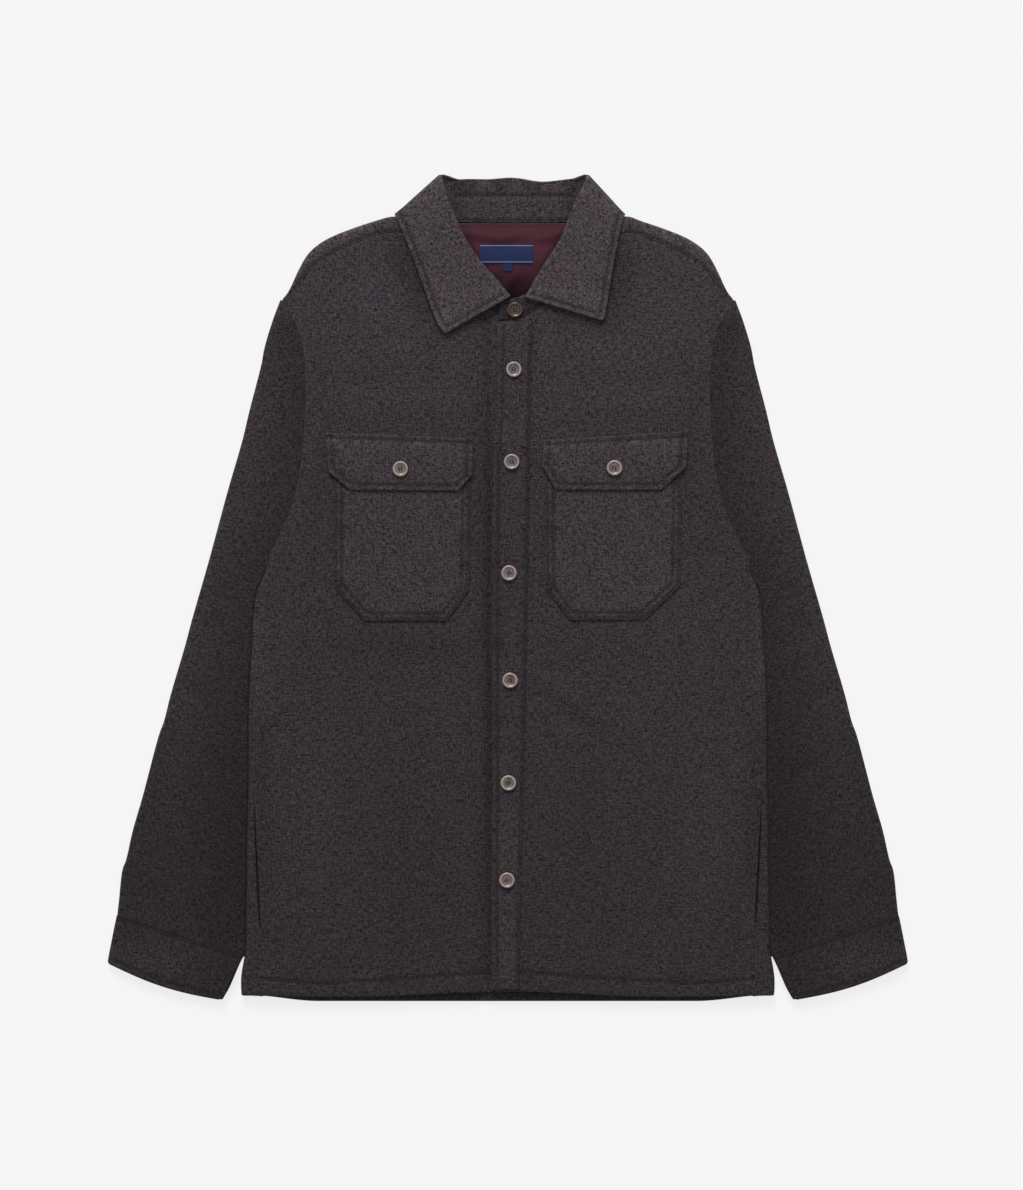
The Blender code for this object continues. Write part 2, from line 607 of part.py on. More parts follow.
def make_button_mesh(finish):
    """A turned button with a raised rim and four holes."""
    radius = BUTTON_RADIUS
    height = BUTTON_HEIGHT
    profile = [
        (0.0, height * 0.62), (radius * 0.6, height * 0.64), (radius * 0.78, height), (radius, height * 0.6),
        (radius * 0.84, 0.0), (0.0, 0.0),
    ]
    mesh = bpy.data.meshes.new("button_profile")
    mesh.from_pydata([(x * MM, 0, z * MM) for x, z in profile], [(i, i + 1) for i in range(len(profile) - 1)], [])
    blank = bpy.data.objects.new("button_blank", mesh)
    bpy.context.scene.collection.objects.link(blank)
    screw = blank.modifiers.new("turned", "SCREW")
    screw.steps = 12
    screw.render_steps = 12
    screw.use_merge_vertices = True
    screw.merge_threshold = 0.00002
    drill_mesh = bpy.data.meshes.new("button_drill")
    shape = bmesh.new()
    for corner in range(4):
        angle = math.radians(45 + 90 * corner)
        made = bmesh.ops.create_cone(
            shape, cap_ends=True, segments=4, radius1=BUTTON_HOLE_RADIUS * MM, radius2=BUTTON_HOLE_RADIUS * MM,
            depth=4 * height * MM,
        )
        spot = (BUTTON_HOLE_SPACING * math.cos(angle) * MM, BUTTON_HOLE_SPACING * math.sin(angle) * MM, 0)
        bmesh.ops.translate(shape, verts=made["verts"], vec=spot)
    shape.to_mesh(drill_mesh)
    shape.free()
    drill = bpy.data.objects.new("button_drill", drill_mesh)
    bpy.context.scene.collection.objects.link(drill)
    cut = blank.modifiers.new("holes", "BOOLEAN")
    cut.operation = "DIFFERENCE"
    cut.object = drill
    evaluated = blank.evaluated_get(bpy.context.evaluated_depsgraph_get())
    button = bpy.data.meshes.new_from_object(evaluated)
    button.materials.clear()
    button.materials.append(finish)
    bpy.data.objects.remove(blank)
    bpy.data.objects.remove(drill)
    return button


def add_button(name, mesh, place, height, parts):
    """One button lying on the cloth at a height."""
    button = bpy.data.objects.new(name, mesh)
    button.location = (place[0] * MM, place[1] * MM, height * MM)
    parts.objects.link(button)


def main():
    for old in list(bpy.data.objects):
        bpy.data.objects.remove(old)
    parts = bpy.data.collections.new("shirt_jacket")
    bpy.context.scene.collection.children.link(parts)
    finish = make_finishes()
    wool = finish["brushed_wool"]

    add_sheet("back", back_panel(), BODY_WALL, wool, parts)
    add_sheet("yoke", yoke(), BODY_WALL, wool, parts)
    for side, word in ((-1, "right"), (1, "left")):
        add_sheet(f"front_{word}", front_panel(side), BODY_WALL, wool, parts)
        add_sheet(f"sleeve_{word}", sleeve(side), SLEEVE_WALL, wool, parts)
        add_sheet(f"cuff_{word}", cuff(side), SLEEVE_WALL, wool, parts)
        pocket = applied(POCKETS[f"pocket_{word}"], side, pocket_lift, 9, 8)
        add_sheet(f"pocket_{word}", pocket, POCKET_WALL, wool, parts)
        flap = applied(FLAPS[f"flap_{word}"], side, flap_lift, 7, 8)
        add_sheet(f"flap_{word}", flap, FLAP_WALL, wool, parts)
    add_sheet("placket", placket(), PLACKET_WALL, wool, parts)
    add_sheet("collar_stand", band(COLLAR_STAND, 3, 3), STAND_WALL, wool, parts)
    add_sheet("collar_fall", band(COLLAR_FALL, 6, 2), COLLAR_WALL, wool, parts)
    add_sheet("neck_lining", neck_lining(), LINING_WALL, finish["satin_lining"], parts)
    add_sheet("neck_label", on_lining(LABEL, LABEL_WALL / 2), LABEL_WALL, finish["woven_label"], parts)
    add_sheet("size_tab", on_lining(SIZE_TAB, LABEL_WALL / 2), LABEL_WALL, finish["woven_tab"], parts)

    button = make_button_mesh(finish["horn_button"])
    stand_top = COLLAR_STAND[-1][2] + 0.1 + STAND_WALL / 2 + STACK
    add_button("button_1", button, BAND_BUTTON, stand_top, parts)
    placket_top = BODY_WALL / 2 + STACK + PLACKET_WALL + STACK
    for number, place in enumerate(FRONT_BUTTONS, start=2):
        add_button(f"button_{number}", button, place, button_top(place, 1, placket_top), parts)
    for flap, place in FLAP_BUTTONS.items():
        side = 1 if flap.endswith("left") else -1
        flap_top = flap_lift(place[1]) + FLAP_WALL / 2 + STACK
        add_button(f"{flap}_button", button, place, button_top(place, side, flap_top), parts)


main()
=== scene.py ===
"""Looks of a brushed-wool shirt jacket, laid flat with its front up.

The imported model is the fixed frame. Each cloth piece is a thin shell with rounded edges on the form of its
own solid, with soft creases, sewn edges and stitches. Tables and plan places are in millimetres and meshes in
metres.
"""

import math

import bmesh
import bpy
import numpy as np
from mathutils import Matrix, Vector
from mathutils.bvhtree import BVHTree
from mathutils.kdtree import KDTree


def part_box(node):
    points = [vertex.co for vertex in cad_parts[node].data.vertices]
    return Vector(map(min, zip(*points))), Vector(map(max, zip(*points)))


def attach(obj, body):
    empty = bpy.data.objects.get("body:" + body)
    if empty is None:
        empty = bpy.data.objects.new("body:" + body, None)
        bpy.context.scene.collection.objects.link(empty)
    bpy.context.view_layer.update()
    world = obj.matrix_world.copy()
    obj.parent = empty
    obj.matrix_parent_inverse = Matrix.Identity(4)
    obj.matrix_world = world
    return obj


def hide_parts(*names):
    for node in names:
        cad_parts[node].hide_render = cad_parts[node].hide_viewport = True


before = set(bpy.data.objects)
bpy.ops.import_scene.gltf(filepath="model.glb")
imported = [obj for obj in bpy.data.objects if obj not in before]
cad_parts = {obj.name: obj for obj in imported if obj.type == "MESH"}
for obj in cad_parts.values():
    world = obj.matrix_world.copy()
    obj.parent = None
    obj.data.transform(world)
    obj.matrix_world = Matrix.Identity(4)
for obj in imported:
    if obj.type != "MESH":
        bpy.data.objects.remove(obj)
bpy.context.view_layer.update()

bl_info = {
    "name": "Shirt jacket",
    "version": (1, 0, 0),
    "blender": (4, 5, 0),
    "location": "3D View > Sidebar > Shirt jacket",
    "description": "Builds a wool shirt jacket laid flat, with its seams, stitches, lining and buttons",
    "category": "Add Mesh",
}

MM = 0.001

# Cloth walls and the space left between pieces
BODY_WALL = 3.0
SLEEVE_WALL = 2.6
COLLAR_WALL = 2.6
STAND_WALL = 2.0
POCKET_WALL = 1.6
FLAP_WALL = 1.8
PLACKET_WALL = 1.6
LINING_WALL = 0.8
LABEL_WALL = 0.6
SEAM = -0.1
ARMHOLE_JOIN = 0.7
SIDE_TOUCH = 0.5
HEAD_TUCK = 3.4
CREASE_DEPTH = 1.3
STACK = 0.3

# Heights of the middle of each layer above the surface
BACK_HEIGHT = BODY_WALL / 2
SIDE_FOLD = 3.0
FRONT_HEIGHT = BACK_HEIGHT + 2 * SIDE_FOLD
UNDERLAP_HEIGHT = 4.9
OVERLAP_HEIGHT = 8.2
SLEEVE_BOTTOM = SLEEVE_WALL / 2
SLEEVE_TOP = 6.5
SLEEVE_HEAD = 7.3
COLLAR_BACK_LIFT = 3.0
COLLAR_FRONT_LIFT = 1.0
SWELL = 0.45

# Places of the main features
NECK_CENTRE = 6.5
UNDERARM = 31.5
YOKE_SEAM = 262.5
NECK_SEAM = 364.6
HEM_CORNER = -408.5
FRONT_NECK = 265.5
POCKET_LEVEL = 180.0
ARMHOLE_TOP = 281.2
PLACKET_FOOT = -401.6
FRONT_WIDTH = 252
SIDE_ROUND = 24
YOKE_DEPTH = 100
SHOULDER_LENGTH = 190
CUFF_LENGTH = 43
COLLAR_FALL_WIDTH = 62
STAND_WIDTH = 34
PLACKET_WIDTH = 33
LINING_WIDTH = 110
COLLAR_REACH = 120.0
COLLAR_LOW = 340.0
COLLAR_EASE = 28.0
BACK_HEM_DROP = 6.0
COLLAR_CORNER = {-1: 112.3, 1: 116.7}
QUARTER = math.pi / 2 * SIDE_FOLD

# Side outline of the body: height along the jacket, half width
SIDE_OUTLINE = [
    (290, 232), (82, 232), (52, 236), (31.9, 241), (17.5, 242.4), (8, 246.3), (-6.5, 252),
    (-28.5, 255), (-59.5, 256.3), (-100.5, 259), (-127.5, 259.7), (-179.5, 259.7), (-252.5, 261),
    (-332.5, 262), (-360.5, 262.5), (-391.5, 267.2), (-413, 266.5),
]

# How far the side seam lies round the fold: height, distance from the fold's outermost line
SEAM_ROUND_SIDE = [
    (60, 0), (17, 0.4), (-6.5, 1.5), (-112.5, 4.4), (-184.5, 4.4), (-216, 6.9), (-333, 14.2),
    (-413, 21.9),
]

# How far front and back part at the side seam: height, gap. Below zero their edges share that much.
SIDE_SEAM = [
    (60, -1.7), (-90, -1.6), (-118, -0.7), (-180, -0.5), (-190, -1.2), (-206, -1), (-226, 0.4),
    (-270, 1.5), (-322, 1.7), (-338, 0.2), (-352, -1.1), (-413, -1.5),
]

# Armhole seam: height, distance from the centre line
ARMHOLE = [
    (289, 226.2), (275.9, 221), (266.7, 214.9), (250.5, 208), (237.5, 205), (187.5, 203),
    (127.5, 207), (82.5, 216.2), (43.5, 233), (31.5, 241),
]

# Shoulder: outline x and y, then the front yoke seam below it, x and y
SHOULDER = [
    (225.6, 288.4, 223.4, 282.4), (219.6, 296.2, 214.6, 292.6), (215, 305, 208.9, 302),
    (211, 314, 203.5, 310.5), (201.6, 331.5, 192, 322), (194, 340, 182.5, 329.5),
    (180, 349.5, 170, 336.7), (153, 360.5, 147.6, 346.3), (133, 367, 130, 352.5),
]

# Sleeve rows slant: height on the inner side, then on the outer side
SLEEVE_SLANT = [
    (286.6, 288), (281, 282.6), (277, 278),
    (252, 252.5), (212, 216), (157.5, 167.5), (104.5, 117.5), (62.5, 77.5), (32, 46),
    (-8, 3), (-72.5, -56.5), (-182.5, -162.5), (-302.5, -269.5), (-370.2, -329),
]

# Outer outline of the sleeve: height, distance from the centre line
SLEEVE_OUTLINE = [
    (288, 227.8), (284.5, 229.2), (276, 232.4), (264.5, 236.5), (239.1, 244), (223.8, 246.8),
    (175.5, 259.2), (147, 266),
    (103.7, 278.6), (86.5, 283.4), (27.5, 299.3), (-35.1, 317.2), (-56.8, 322.9), (-108.5, 338),
    (-134.5, 344.6), (-147.5, 349.4), (-208.5, 365.6), (-243.5, 375.7), (-273.5, 382.6), (-282.5, 386),
    (-312.5, 389.4), (-330, 391.4),
]

# Cuff: inner x and y, outer x and y, bulge of the edge towards the hand
CUFF_STATIONS = [
    (264.2, -369, 391.6, -327.8, 0), (269, -379, 394.2, -340, 0.8),
    (273.5, -389.4, 397, -354.4, 2.5), (279.2, -402.2, 399.6, -367.6, 4.5),
    (285.4, -412.6, 400.8, -375.4, 5.4),
]

# Front edge of the left front, and of the right front under it: height, x
LEFT_FRONT_EDGE = [
    (265.5, -9.5), (236.5, -10.8), (179.5, -11.4), (141.5, -14), (47.5, -15.9), (-72.5, -16.2),
    (-192.5, -16.2), (-327.5, -16.8), (-402, -16.2),
]
RIGHT_FRONT_EDGE = [(265.5, 16), (47.5, 13), (-192.5, 11), (-403.8, 10)]

# Front neckline, from the front edge to the shoulder: distance from the neck's centre, height
NECKLINE = [(8, 270.2), (24, 278.6), (43, 293), (59.6, 314), (72.4, 337), (79.5, 353.4)]

# Right edge of the placket strip: height, x
PLACKET_INNER_EDGE = [
    (265.5, 25), (205.5, 23.2), (-27.5, 19.2), (-192.5, 15.8), (-297.5, 12.8), (-402, 11.5),
]

# Pocket and flap outlines for each side, x and y of their corners
POCKETS = {
    "pocket_right": [(-173.8, 130), (-173.6, 0.5), (-143.5, -33.5), (-61.4, -33.5), (-38.6, -2.5),
                     (-37.3, 130)],
    "pocket_left": [(37.2, 130), (38.6, -2.5), (62.2, -32.5), (136.9, -32.5), (172.2, 1.5), (173.6, 130)],
}
FLAPS = {
    "flap_right": [(-182.4, 154.8), (-179.5, 115.9), (-158.2, 97.5), (-49.6, 96.5), (-35, 113),
                   (-35, 149.5)],
    "flap_left": [(35.7, 147.5), (34.2, 121.5), (47.4, 97.5), (153, 97.5), (178.7, 120.5), (180.2, 156.2)],
}

# Collar fall: roll line x, y, z, then free edge x, y, z, from the right point round the neck to the left one
COLLAR_FALL = [
    (-0.6, 289, 12.6, -62.8, 253.4, 11.6), (-12.5, 304, 12.9, -69.4, 262, 11.6),
    (-31.4, 327.5, 13, -80.2, 288.5, 11.8), (-46, 350, 13, -92.5, 323, 12.2),
    (-55, 370, 13, -103.5, 351, 12.4), (-61.8, 388, 12.4, -110.4, 366.4, 11.4),
    (-66.4, 403.2, 11, -112.5, 371.4, 9.8), (-68, 412.2, 7, -112.6, 372.6, 6.2),
    (-62, 410.5, 2.4, -106, 366.5, 1.3), (-50, 407, 1.3, -84, 355, 1.3),
    (-25, 406.3, 1.3, -42, 348.5, 1.3), (6.5, 406, 1.3, 6.5, 347, 1.3),
    (38, 406.3, 1.3, 55, 348.5, 1.3), (63, 407, 1.3, 90, 355, 1.3),
    (75, 410.5, 2.4, 110, 367, 1.3), (80.2, 412.4, 7, 116.8, 372.4, 6.2),
    (78.6, 403, 11, 116.6, 371.2, 9.8), (70, 387.5, 12.4, 114.4, 364.4, 11.4),
    (63.6, 369, 13, 109.8, 343, 12.4), (54.5, 347, 13, 105, 318, 12.2),
    (38, 321, 13, 100.5, 290, 11.8), (28, 304, 12.9, 97, 271, 11.6),
    (19.6, 289, 12.6, 94.8, 266.4, 11.6),
]

# Collar stand: neck seam x, y, z, then top edge x, y, z, from the under end to the buttoned end
COLLAR_STAND = [
    (17, 269, 5.5, 17, 286, 5.5), (-5, 271, 5.5, -1, 289, 5.6),
    (-17.5, 277.5, 5.9, -13, 303, 6.4), (-38, 293, 7.9, -28, 324, 9.2),
    (-53, 316, 8.5, -43.5, 348, 9.4), (-64.5, 339, 8.8, -53, 370, 9.4),
    (-69, 360.5, 9.2, -59, 388, 9.5), (-68.5, 369.4, 6.9, -63.5, 402.5, 7.2),
    (-62, 366.4, 4.5, -57, 406.6, 4.5), (-40, 365.4, 4.5, -38, 406.4, 4.5),
    (6.5, 365, 4.5, 6.5, 406.4, 4.5), (53, 365.4, 4.5, 51, 406.4, 4.5),
    (75, 366.4, 4.5, 70, 406.6, 4.5), (81.5, 369.4, 6.9, 76.5, 402.5, 7.2),
    (82, 360.5, 9.2, 72, 388, 9.5), (77.5, 339, 8.8, 64.5, 369, 9.4),
    (66, 316, 8.5, 50, 343, 9.4), (50, 293, 8.4, 36, 320, 9.3),
    (30, 278, 8.7, 25.5, 300, 9.1), (10, 269, 8.8, 10, 290.5, 8.9),
    (-8.6, 267.6, 8.7, -8.6, 288, 8.7),
]

# Lining patch inside the neck: height, left x, right x
NECK_LINING = [
    (363.9, -58, 71), (350, -52, 66), (335, -47, 62), (318, -38, 52),
    (300, -24, 40), (290, -14, 31),
]
LABEL = {"x": (-27.8, 25.2), "y": (324.5, 343.5)}
SIZE_TAB = {"x": (-5.2, 4.8), "y": (316.6, 324.1)}

# Buttons: their middles
BAND_BUTTON = (7.2, 277.5)
FRONT_BUTTONS = [(6, 218), (3.9, 125.7), (1.2, 14.5), (2.2, -92.8), (0.6, -195.3), (-0.8, -292.5)]
FLAP_BUTTONS = {"flap_right": (-107.3, 118.5), "flap_left": (106.5, 119.5)}
BUTTON_RADIUS = 7.75
BUTTON_HEIGHT = 2.6
BUTTON_HOLE_RADIUS = 0.8
BUTTON_HOLE_SPACING = 1.75

# Counts of points and smaller sizes of the finish
SIDES = ((-1, "right"), (1, "left"))
EDGE_TURNS = (0, 28, 52, 72, 90)
YOKE_FOLD_POINTS = 14
YOKE_FRONT_POINTS = 8
SLEEVE_TOP_POINTS = 40
SLEEVE_EDGE_POINTS = 9
SLEEVE_FOLD_POINTS = 15
YOKE_STITCH_INSET = 2.6
FLAP_TOP_INSET = 4.6
CUFF_SEAM_INSET = 2.4
CUFF_EDGE_INSET = 5.2
CUFF_EDGE_RADIUS = 0.55
STAND_STITCH_INSET = 3.4
COLLAR_EASING = 24
LABEL_LINE_INSET = 1.5
STITCH_UNEVENNESS = 0.09
TACK_PITCH = 0.0006
TACK_LENGTH = 0.0022
HOLE_PITCH = 0.0007
HOLE_STITCH = 0.0019
BUTTON_DISH = 0.66
# painted shade on the band's button, which lies under the collar's roll
BAND_BUTTON_PAINTED_SHADE = (0.20, 0.11, 0.05)
BUTTON_TURNS = [8, -12, 4, 31, -7, 18, -25, 2, -5]
BUTTON_PROFILE = [
    (0, 0.62), (0.3, 0.62), (0.55, 0.63), (0.63, 0.67), (0.69, 0.78), (0.75, 0.92), (0.82, 1), (0.90, 0.97),
    (0.96, 0.86), (1, 0.66), (0.99, 0.48), (0.94, 0.3), (0.86, 0.08), (0.80, 0), (0, 0),
]
LINING_CREASES = [
    ([(-40, 352), (-10, 346), (20, 350)], 5, 0.8), ([(-30, 331), (-38, 345), (-44, 358)], 5, 0.7),
    ([(34, 318), (44, 334), (56, 352)], 5, 0.9), ([(0, 296), (6, 306), (14, 312)], 5, 0.8),
    ([(28, 346), (44, 349), (60, 356)], 4, 0.6), ([(-22, 306), (-14, 312), (-6, 313)], 4, 0.5),
]

# Stage
SENSOR = 36
VIEW_HEIGHT = 1.19
VIEW_CENTRE = (0.0037, -0.0075)
GARMENT_LEVEL = 0.010
GROUND_SIZE = 8
KEY_PLACE = (-0.35, 2.6, 1.55)
KEY_SPREAD = 24
FILL_PLACE = (0, 0.9, 2.8)

# Creases: the places they run through, half width and height, a trough where the height is below zero
RIGHT_CREASES = [
    ([(-222, -110), (-238, -128), (-250, -152)], 5, 1.1),
    ([(-232, -165), (-236, -250), (-228, -335)], 20, 1.5),
    ([(-157, -188), (-161, -250), (-158, -322)], 7, -0.8),
    ([(-185, 209), (-120, 203), (-48, 206)], 9, -0.6),
    ([(-172, 174), (-110, 180), (-52, 177)], 13, 0.8),
    ([(-112, 352), (-93, 305), (-72, 256)], 12, -1.5),
    ([(-192, 158), (-199, 100), (-212, 44)], 9, 1),
    ([(-200, 210), (-193, 180), (-186, 120)], 7, -0.6),
    ([(-30, -18), (-38, -42), (-52, -66)], 8, 0.9),
    ([(-20, -24), (-22, -50), (-26, -78)], 5, -0.7),
    ([(-152, -62), (-105, -70), (-60, -66)], 10, -0.5),
    ([(-92, -208), (-100, -270), (-112, -338)], 17, 0.7),
    ([(-60, -300), (-58, -335), (-64, -372)], 9, -0.6),
    ([(-190, -20), (-214, -52), (-226, -96)], 9, 0.7),
]
LEFT_CREASES = [
    ([(234, -108), (244, -128), (253, -150)], 5, 1.1),
    ([(232, -158), (237, -245), (230, -336)], 20, 1.4),
    ([(156, -150), (161, -215), (159, -280)], 7, -0.9),
    ([(45, 206), (118, 202), (186, 207)], 9, -0.6),
    ([(60, 176), (112, 181), (170, 175)], 13, 0.8),
    ([(117, 345), (108, 310), (100, 266)], 12, -1.5),
    ([(204, 146), (203, 96), (214, 46)], 9, 1),
    ([(203, 214), (196, 184), (190, 132)], 7, -0.6),
    ([(24, -84), (56, -106), (94, -134)], 8, 1.2),
    ([(36, -106), (66, -134), (100, -162)], 8, -1.1),
    ([(60, -303), (66, -314), (72, -324)], 10, -1.1),
    ([(112, -232), (103, -290), (90, -344)], 19, 0.7),
    ([(196, -24), (216, -54), (230, -92)], 9, 0.7),
    ([(74, -370), (80, -378), (88, -384)], 7, 0.8),
]
SLEEVE_CREASES = {
    -1: [
        ([(-314, -162), (-292, -178), (-268, -192)], 9, -1.3),
        ([(-302, -200), (-300, -240), (-306, -278)], 8, -0.9),
        ([(-352, -216), (-352, -262), (-344, -312)], 15, 1.2),
        ([(-276, 110), (-296, 40), (-322, -56)], 12, 0.9),
        ([(-256, 150), (-268, 90), (-276, 30)], 8, -0.9),
        ([(-334, -92), (-308, -112), (-282, -132)], 8, -1),
        ([(-326, -58), (-304, -70), (-276, -74)], 8, 0.6),
        ([(-372, -296), (-352, -318), (-330, -340)], 6, -0.6),
        ([(-322, -312), (-318, -332), (-314, -352)], 5, -0.7),
        ([(-292, -326), (-288, -344), (-286, -362)], 5, 0.6),
        ([(-246, 222), (-250, 190), (-252, 160)], 6, -0.7),
        ([(-366, -235), (-374, -252), (-380, -262)], 5, -0.9),
    ],
    1: [
        ([(310, -176), (290, -188), (268, -196)], 9, -1.2),
        ([(302, -206), (298, -248), (304, -290)], 8, -1),
        ([(350, -224), (354, -266), (346, -316)], 15, 1.1),
        ([(274, 116), (298, 44), (320, -50)], 12, 0.9),
        ([(258, 146), (266, 88), (278, 26)], 8, -0.8),
        ([(338, -98), (310, -116), (284, -128)], 8, -0.9),
        ([(322, -52), (300, -62), (276, -78)], 8, 0.7),
        ([(370, -290), (348, -316), (326, -338)], 6, -0.6),
        ([(326, -316), (320, -334), (318, -352)], 5, -0.6),
        ([(290, -330), (286, -346), (284, -360)], 5, 0.6),
        ([(247, 226), (249, 196), (254, 164)], 6, -0.6),
        ([(364, -228), (373, -244), (379, -256)], 5, -0.8),
    ],
}

# Bands of painted shade and painted highlight on the wool: the places they run through, half width and
# strength
PAINTED_SHADING_BANDS = [
    ([(-118, 352), (-96, 306), (-72, 252)], 15, -0.30), ([(121, 350), (113, 306), (106, 262)], 14, -0.28),
    ([(-72, 250), (-40, 262), (-12, 278)], 9, -0.26), ([(104, 262), (66, 266), (30, 276)], 9, -0.22),
    ([(-20, 262), (-20, 60), (-19, -200), (-18, -390)], 4, -0.42),
    ([(-24, 255), (-30, 150), (-26, 20)], 12, -0.10),
    ([(-250, -20), (-254, -60), (-254, -110)], 9, 0.20), ([(250, -20), (254, -60), (254, -110)], 9, 0.17),
    ([(-246, -130), (-247, -200), (-243, -300)], 9, -0.16),
    ([(246, -130), (247, -200), (243, -300)], 9, -0.16),
    ([(-190, -150), (-196, -250), (-190, -330)], 24, 0.10),
    ([(190, -150), (196, -250), (190, -330)], 24, 0.12),
    ([(-140, 40), (-150, -40), (-140, -120)], 50, -0.05), ([(140, 20), (150, -40), (140, -100)], 50, 0.06),
    ([(-100, -150), (-108, -260), (-100, -350)], 26, -0.08),
    ([(84, -130), (78, -240), (84, -350)], 22, -0.07),
    ([(-188, 240), (-184, 160), (-190, 70)], 12, -0.10), ([(190, 240), (186, 160), (192, 70)], 12, -0.10),
    ([(-150, 300), (-100, 262), (-50, 240)], 22, 0.08), ([(60, 246), (110, 240), (160, 262)], 20, 0.08),
    ([(-165, -60), (-100, -68), (-40, -56)], 16, -0.10), ([(50, -60), (110, -70), (165, -56)], 16, -0.08),
    ([(-212, 318), (-180, 346), (-140, 362)], 8, 0.10), ([(212, 318), (180, 346), (140, 362)], 8, 0.10),
]

# Sewn lines: hem and side pocket tacks of the left front, then insets and sizes of the others
HEM_STITCH = [(246, -391.3), (188, -396), (140, -393.6), (87, -390), (40, -386.6), (12, -384)]
POCKET_TACKS = [[(254.5, -183.5), (243.7, -189)], [(246.5, -347.5), (232.5, -351.2)]]
POCKET_STITCH_INSETS = (1.8, 7.6)
FLAP_STITCH_INSET = 5.8
COLLAR_STITCH_INSET = 6
PLACKET_STITCH_INSETS = (6, 2)
BUTTONHOLE_LENGTH = 19
BUTTONHOLE_WIDTH = 2.4
STAND_LEDGE = 390.5
COLLAR_WAVE = 1.5

# What a sewn line does to the cloth round it
SEWN_DEPTH = 0.65
SEWN_WIDTH = 1.7
PUCKER_DEPTH = 0.22
PUCKER_REACH = 8.0
# SEWN_SHADE paints shade into each sewn trough, and painted light and shade on the puckers beside it
SEWN_SHADE = 0.75


def smoothstep(value):
    """Ease from 0 to 1 as the value goes from 0 to 1."""
    value = np.clip(value, 0.0, 1.0)
    return value * value * (3 - 2 * value)


def smooth_curve(points, steps):
    """Points along a smooth curve through the given ones, with the same number of steps between each pair."""
    points = np.asarray(points, dtype=float)
    ends = np.vstack([2 * points[0] - points[1], points, 2 * points[-1] - points[-2]])
    dense = []
    for index in range(len(points) - 1):
        before, start, stop, after = ends[index:index + 4]
        gaps = [max(np.linalg.norm(b - a), 1e-6) ** 0.5 for a, b in
                ((before, start), (start, stop), (stop, after))]
        out = (stop - start) / gaps[1] - (stop - before) / (gaps[0] + gaps[1]) + (start - before) / gaps[0]
        into = (after - stop) / gaps[2] - (after - start) / (gaps[1] + gaps[2]) + (stop - start) / gaps[1]
        for share in np.linspace(0, 1, steps, endpoint=False):
            square = share * share
            cube = square * share
            dense.append((2 * cube - 3 * square + 1) * start + (cube - 2 * square + share) * out * gaps[1]
                         + (3 * square - 2 * cube) * stop + (cube - square) * into * gaps[1])
    dense.append(points[-1])
    return np.array(dense)


def shares(curve):
    """Share of a curve's length at each of its points."""
    travelled = np.concatenate([[0], np.cumsum(np.linalg.norm(np.diff(curve, axis=0), axis=1))])
    return travelled / travelled[-1]


def through(points, fractions):
    """Points at the given shares of the length of a smooth curve through the given ones."""
    dense = smooth_curve(points, 12)
    reached = shares(dense)
    return np.stack([np.interp(fractions, reached, column) for column in dense.T], axis=1)


def lookup(table):
    """A function of height, smooth through a table of height and value."""
    curve = smooth_curve(sorted(table), 12)
    return lambda height: np.interp(height, curve[:, 0], curve[:, 1])


side_outline = lookup(SIDE_OUTLINE)
seam_round_side = lookup(SEAM_ROUND_SIDE)
side_seam = lookup(SIDE_SEAM)
armhole = lookup(ARMHOLE)
sleeve_outline = lookup(SLEEVE_OUTLINE)
sleeve_slant = lookup(SLEEVE_SLANT)
left_front_edge = lookup(LEFT_FRONT_EDGE)
right_front_edge = lookup(RIGHT_FRONT_EDGE)
placket_inner_edge = lookup(PLACKET_INNER_EDGE)


def fold_base(y):
    """Distance from the centre line at which the side fold starts to turn."""
    return side_outline(y) - BODY_WALL / 2 - SIDE_FOLD


def fold_line(y):
    """The same, moved out above the underarm, where the panels stay flat to the armhole."""
    return fold_base(y) + 8.0 * smoothstep((y - 16.0) / 34.0)


def body_edge(y):
    """Distance from the centre line of the armhole, and of the body's side below it."""
    return np.where(y > UNDERARM, armhole(y), side_outline(y))


def collar_lift(x, y):
    """1 where the collar lies under the yoke, easing to 0 around it."""
    beside = np.maximum(0.0, np.abs(x - NECK_CENTRE) - COLLAR_REACH)
    below = np.maximum(0.0, COLLAR_LOW - y)
    return 1.0 - smoothstep(np.hypot(beside, below) / COLLAR_EASE)


def back_height(x, y):
    """Height of the middle of the back and yoke."""
    return BACK_HEIGHT + COLLAR_BACK_LIFT * collar_lift(x, y)


def swell(x, y):
    """Soft rise and fall of the front, none at its sides."""
    side = np.where(y < UNDERARM, fold_base(y), armhole(y))
    inside = smoothstep((side - np.abs(x)) / 45.0) * smoothstep((330.0 - y) / 60.0)
    waves = 1.0 + 0.6 * np.sin(x / 47.0 + 0.9) * np.sin(y / 71.0 + 0.4) + 0.4 * np.sin(y / 38.0 - x / 90.0)
    return SWELL * inside * waves


def front_height(x, y, side):
    """Height of the middle of a front: -1 is the right front, 1 is the left, which laps over it."""
    if side < 0:
        flat = FRONT_HEIGHT + swell(x, y)
        lap = smoothstep((x + 35.0) / 15.0)
        level = flat + (UNDERLAP_HEIGHT - flat) * lap
    else:
        lap = 1.0 - smoothstep((x - 25.0) / 25.0)
        level = FRONT_HEIGHT + (OVERLAP_HEIGHT - FRONT_HEIGHT) * lap + swell(x, y)
    return level + COLLAR_FRONT_LIFT * collar_lift(x, y) + front_relief(x, y, side)


